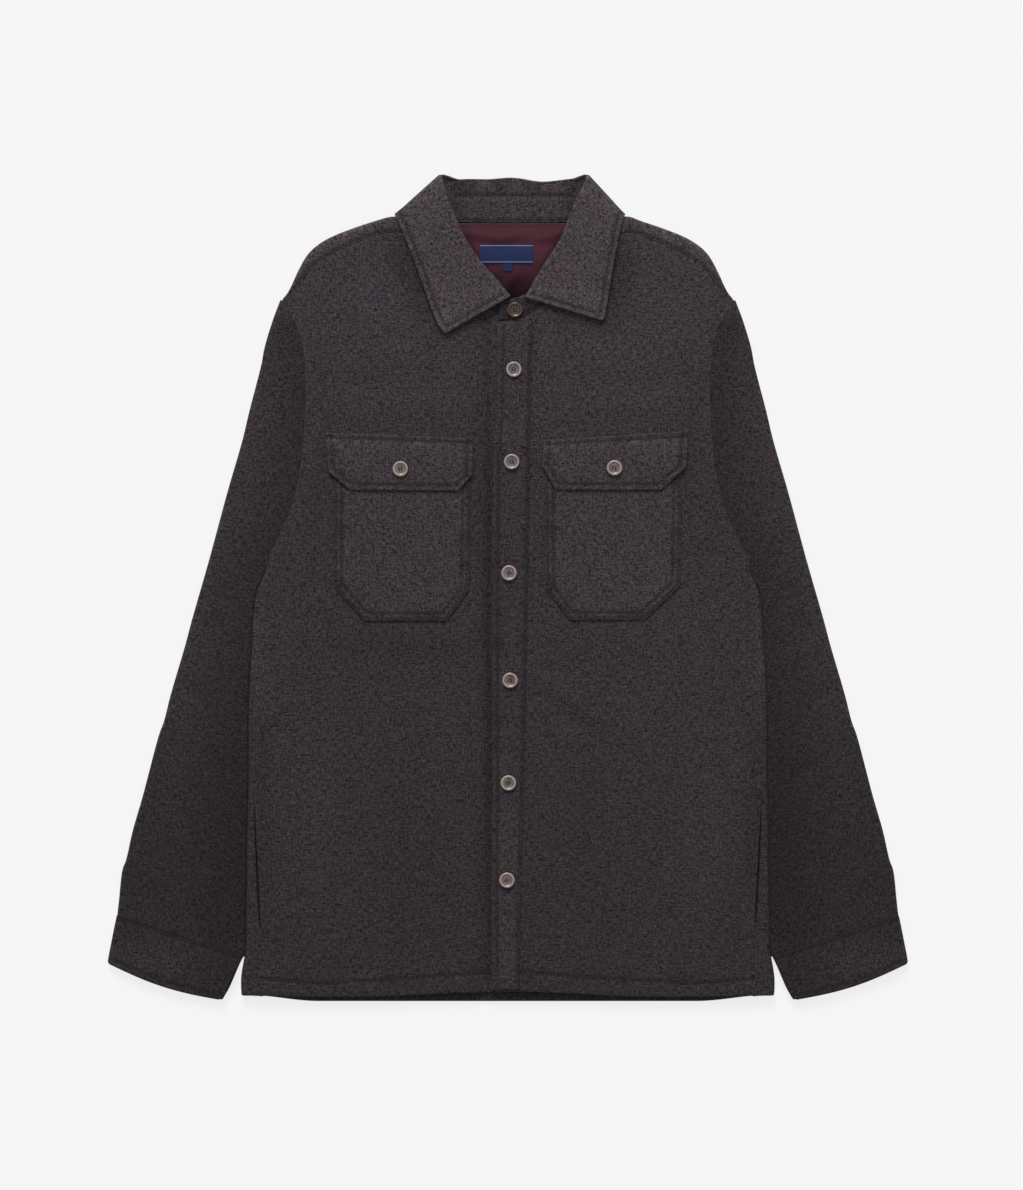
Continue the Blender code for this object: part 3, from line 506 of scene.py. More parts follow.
def beside_line(x, y, line):
    """Distance of each place from a line of points, how far along the line that is, and the line's length."""
    line = np.array(line, dtype=float)
    lengths = np.maximum(np.linalg.norm(np.diff(line, axis=0), axis=1), 1e-6)
    nearest = np.full(np.shape(x), np.inf)
    along = np.zeros(np.shape(x))
    travelled = 0.0
    for start, stop, length in zip(line, line[1:], lengths):
        run = (stop - start) / length
        share = np.clip((x - start[0]) * run[0] + (y - start[1]) * run[1], 0, length)
        gap = np.hypot(x - start[0] - share * run[0], y - start[1] - share * run[1])
        closer = gap < nearest
        nearest = np.where(closer, gap, nearest)
        along = np.where(closer, travelled + share, along)
        travelled += length
    return nearest, along, lengths.sum()


def crease(x, y, places, width, height):
    """Soft ridge or trough along a few places, fading at both ends."""
    nearest, along, whole = beside_line(x, y, places)
    along = along / whole
    fade = np.sin(math.pi * (0.08 + 0.84 * along)) ** 0.6
    reach = width * (0.8 + 0.45 * along)
    return height * fade * np.exp(-(nearest / reach) ** 2)


def creased(x, y, table):
    """All the creases of a table."""
    return sum(crease(x, y, *row) for row in table)


def front_relief(x, y, side):
    """Creases of one front."""
    return creased(x, y, LEFT_CREASES if side > 0 else RIGHT_CREASES) * CREASE_DEPTH


def sewn(x, y, line):
    """Trough under a sewn line, with the cloth puckered unevenly on both sides of it."""
    nearest, along, _ = beside_line(x, y, line)
    uneven = 0.5 * np.sin(along / 4.3) + 0.3 * np.sin(along / 7.9 + 1.3) + 0.35 * np.sin(along / 13.7 + 0.6)
    trough = -SEWN_DEPTH * (1.0 + 0.3 * uneven) * np.exp(-(nearest / SEWN_WIDTH) ** 2)
    return trough + PUCKER_DEPTH * uneven * np.exp(-(nearest / PUCKER_REACH) ** 2)


def spread(length, spacing, wall, zones=()):
    """Distances from one cut edge to the other, close together at both, where the edge is rounded.

    A zone is the start, stop and spacing of a stretch that needs finer points.
    """
    radius = wall / 2
    rounded = [radius * (1 - math.cos(math.radians(turn))) for turn in EDGE_TURNS]
    places = list(rounded)
    place = places[-1]
    while place < length - radius - 0.6 * spacing:
        step = spacing
        for start, stop, fine in zones:
            if start <= place < stop:
                step = min(step, fine)
        place += step
        if place < length - radius - 0.5 * step:
            places.append(place)
    return np.array(places + [length - place for place in reversed(rounded)])


def parts(length, spacing, wall, zones=()):
    """The same places, as shares of the length."""
    return spread(length, spacing, wall, zones) / length


def strip(levels, start, stop, part):
    """Plan places across a strip at each level, between its two edges."""
    x = start[:, None] + (stop - start)[:, None] * part[None]
    return x, np.repeat(levels[:, None], len(part), axis=1)


def left_of(run):
    """Unit directions, each a quarter turn to the left of the given one."""
    run = run / np.linalg.norm(run, axis=1)[:, None]
    return np.stack([-run[:, 1], run[:, 0]], axis=1)


def blend_patch(bottom, top, left, right, across, up):
    """Grid of x and y between four edge curves, which start at the shared corners."""
    u = across[None, :, None]
    v = up[:, None, None]
    corners = ((1 - u) * (1 - v) * left[0] + u * (1 - v) * right[0]
               + (1 - u) * v * left[-1] + u * v * right[-1])
    return ((1 - u) * left[:, None] + u * right[:, None] + (1 - v) * bottom[None]
            + v * top[None] - corners)


def shoulder_columns(side, fractions):
    """Outline and front seam points of one shoulder, from the armhole to the neck."""
    corner = COLLAR_CORNER[side]
    neck = NECKLINE[-1][0] + side * NECK_CENTRE
    under_collar = [
        (corner + 5.0, 371.2, corner + 3.0, 355.2), (corner - 1.0, 371.2, corner - 3.0, 354.8),
        (corner - 12.0, 367.6, corner - 15.0, 353.6), (neck, 366.4, neck, 353.0),
    ]
    return through(np.array(SHOULDER + under_collar), fractions)


def front_grid(side, spacing, fine):
    """One front, and the place of each point in the flat cut."""
    edge = left_front_edge if side > 0 else right_front_edge
    hem_middle = -403.0 if side > 0 else -404.8
    below = HEM_CORNER + spread(POCKET_LEVEL - HEM_CORNER, spacing, BODY_WALL, [(0, 26, fine)])[:-5]
    above = POCKET_LEVEL + spread(ARMHOLE_TOP - POCKET_LEVEL, spacing, BODY_WALL)[4:]
    levels = np.concatenate([below, [POCKET_LEVEL], above])
    rounded = fold_base(levels) + QUARTER - seam_round_side(levels) - side_seam(levels) / 2
    join = np.where(levels < UNDERARM, rounded, armhole(levels))
    left = np.stack([join, levels], axis=1)
    up = shares(left)
    corner = len(below)
    heights = (hem_middle, -300, -200, -100, 0, 100, POCKET_LEVEL, 230, FRONT_NECK)
    middle = [(side * edge(y), y) for y in heights]
    neck = [middle[-1]] + [(e + side * NECK_CENTRE, y) for e, y in NECKLINE]
    lower = through(middle, up[:corner + 1] / up[corner])
    upper = through(neck, (up[corner + 1:] - up[corner]) / (1 - up[corner]))
    right = np.vstack([lower, upper])
    zones = [(0, 14, fine), (FRONT_WIDTH - 12, FRONT_WIDTH, fine)]
    across = parts(FRONT_WIDTH, spacing, BODY_WALL, zones)
    hem = [tuple(left[0]), (186.0, -409.5), (120.0, -409.0), (60.0, -406.0), tuple(right[0])]
    bottom = through(hem, across)
    seam = shoulder_columns(side, np.linspace(0, 1, 10))[:, 2:]
    inset = seam + left_of(np.gradient(seam, axis=0)) * 1.5 * SEAM
    top = through([tuple(left[-1])] + inset[1:-1].tolist() + [tuple(right[-1])], across)
    flat = blend_patch(bottom, top, left, right, across, up)
    out, y = flat[:, :, 0], flat[:, :, 1]
    start = np.minimum(out, fold_line(y))
    angle = (out - start) / SIDE_FOLD
    x = side * (start + SIDE_FOLD * np.sin(angle))
    z = front_height(side * start, y, side) - SIDE_FOLD * (1 - np.cos(angle))
    return np.stack([x, y, z], axis=2), np.stack([side * out, y], axis=2)


def back_grid(spacing, fine):
    """The back, flat on the surface, round both sides and a little way onto the front."""
    length = YOKE_SEAM - SEAM - HEM_CORNER
    levels = HEM_CORNER + spread(length, spacing, BODY_WALL, [(0, 24, fine)])
    rows = []
    cuts = []
    for y in levels:
        if y < UNDERARM:
            reach = fold_base(y) + QUARTER + seam_round_side(y) - side_seam(y) / 2
        else:
            reach = armhole(y)
        turn = min(fold_line(y), reach - 0.5)
        flat = np.linspace(0, turn, 34)[:-1]
        round_side = turn + (reach - turn) * spread(SIDE_ROUND, 0.9, BODY_WALL)[4:] / SIDE_ROUND
        out = np.concatenate([flat, round_side])
        over = np.maximum(0.0, out - fold_line(y))
        angle = np.minimum(over / SIDE_FOLD, math.pi)
        inward = np.maximum(0.0, over - math.pi * SIDE_FOLD)
        x = np.minimum(out, fold_line(y)) + SIDE_FOLD * np.sin(angle) - inward
        z = back_height(x, y) + SIDE_FOLD * (1 - np.cos(angle))
        near_hem = 1 - smoothstep((y - HEM_CORNER) / 24.0)
        level = y - BACK_HEM_DROP * (1 - smoothstep((x - 190.0) / 70.0)) * near_hem
        half = np.stack([x, level, z], axis=1)
        cut = np.stack([out, level], axis=1)
        rows.append(np.vstack([half[:0:-1] * [-1, 1, 1], half]))
        cuts.append(np.vstack([cut[:0:-1] * [-1, 1], cut]))
    return np.array(rows), np.array(cuts)


def yoke_back_line(foot, end, steps):
    """The part of a yoke line that lies on the back."""
    places = foot + (end - foot) * steps[:, None]
    return np.column_stack([places, back_height(places[:, 0], places[:, 1])])


def yoke_line(outline, seam, foot, steps):
    """One line of the yoke, from the back seam over the shoulder fold to the front seam."""
    inward = (foot - outline) / np.linalg.norm(foot - outline)
    side = 1 if seam[0] > 0 else -1
    low = back_height(*outline)
    high = front_height(*seam, side)
    radius = (high - low) / 2
    turn = outline + inward * (BODY_WALL / 2 + radius)
    angles = np.linspace(0, math.pi, YOKE_FOLD_POINTS + 1)[1:]
    fold = turn - inward * radius * np.sin(angles)[:, None]
    height = low + radius * (1 - np.cos(angles))
    run = max(np.linalg.norm(seam - turn), 4.0)
    shares_left = parts(run, run / YOKE_FRONT_POINTS, min(BODY_WALL, run * 0.8))[4:]
    count = YOKE_FRONT_POINTS + 4
    shares_left = np.interp(np.linspace(0, 1, count), np.linspace(0, 1, len(shares_left)), shares_left)[1:]
    front = turn + (seam - turn) * shares_left[:, None]
    rise = front_relief(front[:, 0], front[:, 1], side)
    level = high + (rise - rise[-1]) * smoothstep(shares_left * 1.4)
    return np.vstack([yoke_back_line(foot, turn, steps), np.column_stack([fold, height]),
                      np.column_stack([front, level])])


def yoke_grid(spacing):
    """Both shoulders with their folds, and the back between them up to the neck seam."""
    steps = parts(YOKE_DEPTH, spacing * 1.4, BODY_WALL)
    fractions = np.unique(np.concatenate([parts(SHOULDER_LENGTH, spacing, BODY_WALL)[:-5], [1.0]]))
    sides = {}
    for side in (-1, 1):
        columns = []
        places = shoulder_columns(side, fractions)
        for share, (x, y, seam_x, seam_y) in zip(fractions, places):
            pull = SEAM * (1 - smoothstep(share / 0.06))
            foot_x = armhole(YOKE_SEAM) - SEAM + share * (places[-1][0] - armhole(YOKE_SEAM))
            foot = np.array([side * foot_x, YOKE_SEAM])
            outline = np.array([side * (x - pull), y])
            columns.append(yoke_line(outline, np.array([side * (seam_x - pull), seam_y]), foot, steps))
        sides[side] = columns
    left_x = sides[-1][-1][0][0]
    right_x = sides[1][-1][0][0]
    missing = np.full((len(sides[1][0]) - len(steps), 3), np.nan)
    middle = []
    for share in np.linspace(0, 1, 42)[1:-1]:
        foot = np.array([left_x + (right_x - left_x) * share, YOKE_SEAM])
        end = np.array([foot[0], NECK_SEAM - SEAM])
        middle.append(np.vstack([yoke_back_line(foot, end, steps), missing]))
    return np.array(sides[-1] + middle + sides[1][::-1])


def sleeve_ring(inner, outer, closed, head, bulge=0.0):
    """Ring of a flattened sleeve, from its upper inner edge over the outer fold to its lower inner edge."""
    inner = np.array(inner)
    outer = np.array(outer)
    width = np.linalg.norm(outer - inner)
    along = (outer - inner) / width
    towards_hand = np.array([along[1], -along[0]])
    rise_inner = (SLEEVE_TOP + head - SLEEVE_BOTTOM) / 2
    rise_outer = (SLEEVE_TOP - SLEEVE_BOTTOM) / 2
    span = math.radians(12 + 72 * closed)
    start = SLEEVE_WALL / 2 * closed + rise_inner * math.sin(span)
    stop = width - SLEEVE_WALL / 2 - rise_outer
    upper = np.linspace(span, 0, SLEEVE_EDGE_POINTS)
    share = np.linspace(0, 1, SLEEVE_TOP_POINTS + 1)[1:]
    place = start + (stop - start) * share
    step = head * (1 - smoothstep((place - 6.0) / 16.0)) * (1 - smoothstep(share * 1.3 - 0.3))
    turn = np.linspace(0, math.pi, SLEEVE_FOLD_POINTS)[1:]
    back = np.linspace(1, 0, SLEEVE_FOLD_POINTS)[1:]
    lower = np.linspace(0, span, SLEEVE_EDGE_POINTS)[1:]
    across = np.concatenate([
        start - rise_inner * np.sin(upper), place, stop + rise_outer * np.sin(turn),
        start + (stop - start) * back, start - rise_inner * np.sin(lower)])
    height = np.concatenate([
        SLEEVE_BOTTOM + rise_inner * (1 + np.cos(upper)), SLEEVE_TOP + step,
        SLEEVE_BOTTOM + rise_outer * (1 + np.cos(turn)), np.full(len(back), SLEEVE_BOTTOM),
        SLEEVE_BOTTOM + rise_inner * (1 - np.cos(lower))])
    swing = bulge * np.sin(math.pi * np.clip(across / width, 0, 1))
    place = inner + along * across[:, None] + towards_hand * swing[:, None]
    return np.column_stack([place, height])


def sleeve_grid(side, spacing):
    """One sleeve, from the armhole to the cuff seam."""
    top = SLEEVE_SLANT[0][0]
    rows = []
    for inner_y in top - spread(top - SLEEVE_SLANT[-1][0], spacing, SLEEVE_WALL):
        outer_y = float(sleeve_slant(inner_y))
        closed = float(1 - smoothstep((inner_y - 8.0) / 34.0))
        join = (ARMHOLE_JOIN if inner_y > 8.0 else SIDE_TOUCH) + HEAD_TUCK * smoothstep((inner_y - 274) / 9)
        beside = body_edge(inner_y) - join
        head = (SLEEVE_HEAD - SLEEVE_TOP) * (1 - closed)
        rows.append(sleeve_ring((beside, inner_y), (sleeve_outline(outer_y), outer_y), closed, head))
    return np.array(rows) * [side, 1, 1]


def cuff_grid(side, fine):
    """One cuff, in line with its sleeve."""
    stations = through(np.array(CUFF_STATIONS), parts(CUFF_LENGTH, fine, SLEEVE_WALL))
    rows = [sleeve_ring((a, b), (c, d), 1.0, 0.0, bulge) for a, b, c, d, bulge in stations]
    return np.array(rows) * [side, 1, 1]


def collar_fall_grid(fine):
    """The collar fall with the roll that turns over from the stand."""
    stations = smooth_curve(COLLAR_FALL, 11)
    stand = smooth_curve(COLLAR_STAND, 8)
    across = parts(COLLAR_FALL_WIDTH, fine, COLLAR_WALL)[2:]
    across = (across - across[0]) / (1 - across[0])
    rows = []
    for station in trimmed(stations, fine, COLLAR_WALL):
        roll, free = station[:3], station[3:]
        nearest = stand[np.argmin(np.hypot(stand[:, 3] - roll[0], stand[:, 4] - roll[1]))]
        outward = (roll - free)[:2] / max(np.linalg.norm((roll - free)[:2]), 1e-6)
        half = (roll[2] - max(nearest[5], COLLAR_WALL / 2)) / 2
        turn = np.linspace(math.pi, 0, 10)[:-1]
        bulge = abs(half) * 0.9
        roll_up = np.column_stack([
            roll[0] + outward[0] * bulge * np.sin(turn), roll[1] + outward[1] * bulge * np.sin(turn),
            roll[2] - half + half * np.cos(turn)])
        leaf = roll + (free - roll) * across[:, None]
        row = np.vstack([roll_up, leaf])
        row[:, 2] = np.maximum(row[:, 2], COLLAR_WALL / 2)
        rows.append(row)
    grid = np.array(rows)
    soft = grid.copy()
    for _ in range(COLLAR_EASING):
        soft[6:-6, :, 2] = (soft[5:-7, :, 2] + 2 * soft[6:-6, :, 2] + soft[7:-5, :, 2]) / 4
    return soft


def trimmed(stations, spacing, wall):
    """A band's stations along its length, with more of them at its two cut ends."""
    middle = (stations[:, :2] + stations[:, 3:5]) / 2
    reached = shares(middle)
    length = np.linalg.norm(np.diff(middle, axis=0), axis=1).sum()
    wanted = parts(length, spacing, wall)
    return np.stack([np.interp(wanted, reached, column) for column in stations.T], axis=1)


def collar_stand_grid(fine):
    """The collar stand with its buttoned end."""
    stations = trimmed(smooth_curve(COLLAR_STAND, 8), fine, STAND_WALL)
    across = parts(STAND_WIDTH, fine * 0.7, STAND_WALL)
    grid = stations[:, None, :3] + (stations[:, None, 3:] - stations[:, None, :3]) * across[None, :, None]
    grid[:, :, 2] = np.maximum(grid[:, :, 2], STAND_WALL / 2)
    return grid


def applied_grid(corners, side, lift, fine, wall):
    """Flat piece on a front, from two upper corners, two lower ones and their chamfers."""
    corners = [np.array(corner) for corner in corners]
    left_top, left_low, left_foot, right_foot, right_low, right_top = corners
    depth = left_top[1] - left_foot[1]
    chamfer = (left_low[1] - left_foot[1]) / depth
    down = parts(depth, fine, wall)
    part = parts(right_top[0] - left_top[0], fine, wall)
    knots = [0, 1 - chamfer, 1]
    left, right = [
        np.stack([np.interp(down, knots, values) for values in zip(*edge)], axis=1)
        for edge in ((left_top, left_low, left_foot), (right_top, right_low, right_foot))]
    flat = left[:, None] + (right - left)[:, None] * part[None, :, None]
    x, y = flat[:, :, 0], flat[:, :, 1]
    return np.stack([x, y, front_height(x, y, side) + lift(y)], axis=2)


def pocket_lift(y):
    """A pocket lies on the front."""
    return BODY_WALL / 2 + STACK + POCKET_WALL / 2 + 0 * y


def flap_lift(y):
    """A flap starts on the front and rises over the pocket below it."""
    on_front = BODY_WALL / 2 + STACK + FLAP_WALL / 2
    over_pocket = BODY_WALL / 2 + STACK + POCKET_WALL + STACK + FLAP_WALL / 2
    return on_front + (over_pocket - on_front) * smoothstep((152.0 - y) / 18.0)


def placket_grid(fine):
    """The strip on the left front's edge."""
    lift = BODY_WALL / 2 + STACK + PLACKET_WALL / 2
    levels = FRONT_NECK - spread(FRONT_NECK - PLACKET_FOOT, 3.0, PLACKET_WALL)
    part = parts(PLACKET_WIDTH, fine, PLACKET_WALL)
    x, y = strip(levels, left_front_edge(levels) + 0.3, placket_inner_edge(levels), part)
    return np.stack([x, y, front_height(x, y, 1) + lift], axis=2)


def lining_grid(spacing):
    """The lining that shows inside the neck."""
    lift = BODY_WALL / 2 + STACK + LINING_WALL / 2
    table = np.array(NECK_LINING)
    length = table[0, 0] - table[-1, 0]
    levels = table[0, 0] - spread(length, spacing, LINING_WALL)
    start = np.interp(-levels, -table[:, 0], table[:, 1])
    stop = np.interp(-levels, -table[:, 0], table[:, 2])
    x, y = strip(levels, start, stop, parts(LINING_WIDTH, spacing, LINING_WALL))
    return np.stack([x, y, back_height(x, y) + lift + lining_relief(x, y)], axis=2)


def lining_relief(x, y):
    """Soft slack folds of the lining."""
    return creased(x, y, LINING_CREASES)


def on_lining_grid(spot, spacing, lift):
    """A small piece lying on the neck lining."""
    base = BODY_WALL / 2 + STACK + LINING_WALL + STACK + lift
    x0, x1 = spot["x"]
    y0, y1 = spot["y"]
    x = x0 + spread(x1 - x0, spacing, LABEL_WALL)
    y = y0 + spread(y1 - y0, spacing, LABEL_WALL)
    x, y = np.meshgrid(x, y)
    return np.stack([x, y, back_height(x, y) + base + np.maximum(lining_relief(x, y), -0.2)], axis=2)


def flat_cut(grid):
    """Place of each point in the flat cut, by distance along the middle row and column."""
    filled = np.nan_to_num(grid)
    across = np.linalg.norm(np.diff(filled, axis=1), axis=2)
    across = np.concatenate([np.zeros((len(grid), 1)), np.cumsum(across, axis=1)], axis=1)
    down = np.linalg.norm(np.diff(filled, axis=0), axis=2)
    down = np.concatenate([np.zeros((1, grid.shape[1])), np.cumsum(down, axis=0)], axis=0)
    middle = grid.shape[1] // 2
    column = np.repeat(down[:, middle:middle + 1], grid.shape[1], axis=1)
    return np.stack([across - across[:, middle:middle + 1], column], axis=2)


def cut_size(grid):
    """Greatest width and length of the flat cut in metres, and its area."""
    across = np.linalg.norm(np.diff(grid, axis=1), axis=2)
    down = np.linalg.norm(np.diff(grid, axis=0), axis=2)
    one, two = grid[1:, 1:] - grid[:-1, :-1], grid[1:, :-1] - grid[:-1, 1:]
    area = np.nansum(np.linalg.norm(np.cross(one, two), axis=2)) / 2
    width = np.nansum(across, axis=1).max() * MM
    length = np.nansum(down, axis=0).max() * MM
    return (width, length), min(area * MM * MM, width * length)


def add_cloth(name, grid, wall, finish, relief=None, tone=None, cut=None):
    """A closed shell of cloth with rounded edges, from the grid of points in its middle.

    The relief lifts the cloth off its plain form, from the plan places and the upward lean of each point.
    """
    there = ~np.isnan(grid[:, :, 0])
    number = np.cumsum(there.reshape(-1)).reshape(there.shape) - 1
    quads = np.stack([number[:-1, :-1], number[:-1, 1:], number[1:, 1:], number[1:, :-1]], axis=2)
    whole = there[:-1, :-1] & there[:-1, 1:] & there[1:, 1:] & there[1:, :-1]
    quads = quads[whole]
    points = grid[there]
    flat = (flat_cut(grid) if cut is None else cut)[there]
    sheet = bpy.data.meshes.new("flat_sheet")
    sheet.from_pydata(points.tolist(), [], quads.tolist())
    normals = np.zeros(len(points) * 3)
    sheet.vertices.foreach_get("normal", normals)
    normals = normals.reshape(-1, 3)
    bpy.data.meshes.remove(sheet)
    highest = points[:, 2] > np.percentile(points[:, 2], 75)
    if normals[highest, 2].sum() < 0:
        normals = -normals
        quads = quads[:, ::-1]
    pairs = np.concatenate([quads[:, pair] for pair in ([0, 1], [1, 2], [2, 3], [3, 0])])
    pairs = np.sort(pairs, axis=1)
    pairs, times = np.unique(pairs, axis=0, return_counts=True)
    edge = np.unique(pairs[times == 1])
    tree = KDTree(len(edge))
    for index in edge:
        tree.insert(points[index], int(index))
    tree.balance()
    radius = wall / 2
    gap = np.array([tree.find(point)[2] for point in points])
    near = np.clip(gap / radius, 0, 1)
    half = radius * np.sqrt(np.maximum(0.0, 1 - (1 - near) ** 2))
    if relief is not None:
        lift = relief(points[:, 0], points[:, 1], normals[:, 2])
        points = points + normals * lift[:, None]
    upper = points + normals * half[:, None]
    under = points - normals * half[:, None]
    inside = np.setdiff1d(np.arange(len(points)), edge)
    beneath = np.arange(len(points))
    beneath[inside] = len(points) + np.arange(len(inside))
    places = np.vstack([upper, under[inside]]) * MM
    places[:, 2] = np.maximum(places[:, 2], 0.0)
    faces = np.vstack([quads, beneath[quads][:, ::-1]])
    mesh = bpy.data.meshes.new(name)
    mesh.from_pydata(places.tolist(), [], faces.tolist())
    flat = np.vstack([flat, flat[inside]]) * MM
    corners = np.zeros(len(mesh.loops), dtype=np.int32)
    mesh.loops.foreach_get("vertex_index", corners)
    mesh.uv_layers.new(name="grain").data.foreach_set("uv", flat[corners].reshape(-1))
    # painted light and shade for each point, kept in the tone attribute
    shade = np.ones(len(points)) if tone is None else tone(points[:, 0], points[:, 1])
    shade = np.concatenate([shade, shade[inside]])
    mesh.attributes.new("tone", "FLOAT", "POINT").data.foreach_set("value", shade)
    mesh.materials.append(finish)
    mesh.shade_smooth()
    return add_piece(name, mesh)


def linked(name, data):
    """An object in the scene for a mesh, a curve, a lamp or a camera."""
    made = bpy.data.objects.new(name, data)
    bpy.context.scene.collection.objects.link(made)
    return made


def evaluated_mesh(guide):
    """The smooth mesh that an object's modifiers or bevel make. The object itself is removed."""
    made = bpy.data.meshes.new_from_object(guide.evaluated_get(bpy.context.evaluated_depsgraph_get()))
    bpy.data.objects.remove(guide)
    made.shade_smooth()
    return made


def mesh_from(name, shape):
    """A smooth mesh with the shape of a bmesh, which is freed."""
    mesh = bpy.data.meshes.new(name)
    shape.to_mesh(mesh)
    shape.free()
    mesh.shade_smooth()
    return mesh


def add_piece(name, mesh):
    """An object for a finished mesh, which moves with the jacket."""
    piece = linked(name, mesh)
    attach(piece, "root")
    return piece


def declare(node, grid):
    """Hide the solid that a cloth piece stands for, and work out the size it was cut to."""
    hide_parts(node)
    size, area = cut_size(grid)


# Materials
class Wire:
    """A value in a material. A formula on it adds its Math nodes."""

    def __init__(self, finish, socket):
        self.finish = finish
        self.socket = socket

    def maths(self, operation, *values):
        return self.finish.node("ShaderNodeMath", dict(enumerate(values)), operation=operation)

    def __add__(self, other):
        return self.maths("ADD", self, other)

    def __radd__(self, other):
        return self.maths("ADD", other, self)

    def __sub__(self, other):
        return self.maths("SUBTRACT", self, other)

    def __rsub__(self, other):
        return self.maths("SUBTRACT", other, self)

    def __mul__(self, other):
        return self.maths("MULTIPLY", self, other)

    def __rmul__(self, other):
        return self.maths("MULTIPLY", other, self)

    def sine(self):
        return self.maths("SINE", self)

    def size(self):
        return self.maths("ABSOLUTE", self)

    def clamped(self, low, high):
        return self.finish.node("ShaderNodeClamp", {"Value": self, "Min": low, "Max": high})


class Finish:
    """A material being put together round its Principled shader."""

    def __init__(self, name, **fixed):
        self.material = bpy.data.materials.new(name)
        self.material.use_nodes = True
        self.tree = self.material.node_tree
        self.shader = self.tree.nodes["Principled BSDF"]
        for socket, value in fixed.items():
            self.shader.inputs[socket.replace("_", " ")].default_value = value

    def node(self, kind, inputs=(), output=0, **settings):
        """Add a node with its settings, then the values or links of its sockets."""
        made = self.tree.nodes.new(kind)
        for setting, value in settings.items():
            setattr(made, setting, value)
        for socket, value in dict(inputs).items():
            if isinstance(value, Wire):
                self.tree.links.new(value.socket, made.inputs[socket])
            else:
                made.inputs[socket].default_value = value
        return Wire(self, made.outputs[output])

    def mix(self, share, *colours):
        """Mix of two colours, each a wire or three values."""
        one, two = [colour if isinstance(colour, Wire) else (*colour, 1) for colour in colours]
        return self.node("ShaderNodeMix", {0: share, 6: one, 7: two}, output=2, data_type="RGBA")

    def product(self, one, two):
        """One colour times another, part by part."""
        return self.node("ShaderNodeVectorMath", {0: one, 1: two}, operation="MULTIPLY")

    def place(self):
        """Place of a point on its object, in metres."""
        return self.node("ShaderNodeTexCoord", output=3)

    def noise(self, place, scale, stretch=(1, 1, 1), detail=2.0, rough=0.5, warp=0.0):
        """Noise over a place, by scale in lumps for each metre."""
        moved = self.node("ShaderNodeMapping", {"Vector": place, "Scale": stretch})
        return self.node("ShaderNodeTexNoise", {
            "Vector": moved, "Scale": scale, "Detail": detail, "Roughness": rough, "Distortion": warp})

    def grain(self):
        """Place of a point in the flat cut, in metres."""
        return self.node("ShaderNodeUVMap", uv_map="grain")

    def shaded(self, colour):
        """A colour made darker or paler by the tone attribute, the painted light and shade of the cloth."""
        tone = self.node("ShaderNodeAttribute", output=2, attribute_name="tone")
        return self.node("ShaderNodeVectorMath", {0: colour, 3: tone}, operation="SCALE")

    def down(self, grain):
        """The second part of a place, down the flat cut, and the first with it."""
        across = self.node("ShaderNodeSeparateXYZ", {0: grain})
        return across, Wire(self, across.socket.node.outputs[1])

    def drive(self, socket, value):
        self.tree.links.new(value.socket, self.shader.inputs[socket])

    def bump(self, height, strength, distance):
        self.drive("Normal", self.node("ShaderNodeBump", {
            "Strength": strength, "Distance": distance, "Height": height}))


def scaled(colour, share):
    """A colour made darker or paler."""
    return tuple(share * value for value in colour)


def brushed_wool(colours):
    """Melange wool: dark and pale fibres along and across the cloth, brushed to a short nap."""
    finish = Finish("melange_wool", Sheen_Weight=0.05, Sheen_Roughness=0.5, Sheen_Tint=(0.62, 0.56, 0.58, 1),
                    Specular_IOR_Level=0.2)
    grain = finish.grain()
    warp = finish.noise(grain, 430.0, (1.45, 0.45, 1.0), rough=0.6)
    weft = finish.noise(grain, 430.0, (0.45, 1.35, 1.0), rough=0.6)
    fleck = finish.noise(grain, 480.0, detail=3.0, rough=0.65)
    cloud = finish.noise(grain, 60.0, detail=3.0, rough=0.6)
    blend = (warp + weft + fleck - 1.5) * 1.65 + (cloud - 0.5) * 0.35 + 0.44
    colour = finish.mix(blend.clamped(0.0, 1.0), colours.wool_dark, colours.wool_pale)
    warm = (finish.noise(grain, 300.0, detail=1.0) * 4.0 - 2.35).clamped(0.0, 0.35)
    colour = finish.mix(warm, colour, colours.wool_warm)
    drift = (finish.noise(grain, 34.0) * 3.0 - 1.0).clamped(0.0, 1.0)
    tint = finish.mix(drift, (1.03, 0.97, 1.06), (0.98, 1.03, 0.95))
    finish.drive("Base Color", finish.shaded(finish.product(colour, tint)))
    finish.drive("Roughness", (fleck * 0.3 + 0.75).clamped(0.7, 1.0))
    across, down = finish.down(grain)
    twill = ((across + down) * (math.tau / 0.0022) + warp * 2.5).sine()
    finish.bump(twill * 0.15 + fleck * 1.1 + warp * 0.6 + weft * 0.6, 0.8, 0.0007)
    return finish.material


def thread(colours):
    """Spun sewing thread in the cloth's own tone."""
    finish = Finish("sewing_thread", Roughness=0.7, Sheen_Weight=0.1)
    place = finish.place()
    strands = finish.noise(place, 900.0, detail=1.0)
    finish.drive("Base Color", finish.mix(strands, scaled(colours.thread, 0.65), colours.thread))
    return finish.material


def satin(colours):
    """Burgundy satin with fine threads across it."""
    finish = Finish("burgundy_satin", Specular_IOR_Level=0.07)
    grain = finish.grain()
    threads = finish.noise(grain, 1000.0, (0.25, 1.6, 1.0))
    cloud = finish.noise(grain, 40.0)
    share = (threads * 0.8 + cloud * 0.9 - 0.35).clamped(0.0, 1.0)
    colour = finish.mix(share, scaled(colours.lining, 0.7), colours.lining)
    finish.drive("Base Color", finish.shaded(colour))
    finish.drive("Roughness", threads * 0.2 + 0.38)
    finish.bump(threads, 0.25, 0.0002)
    return finish.material


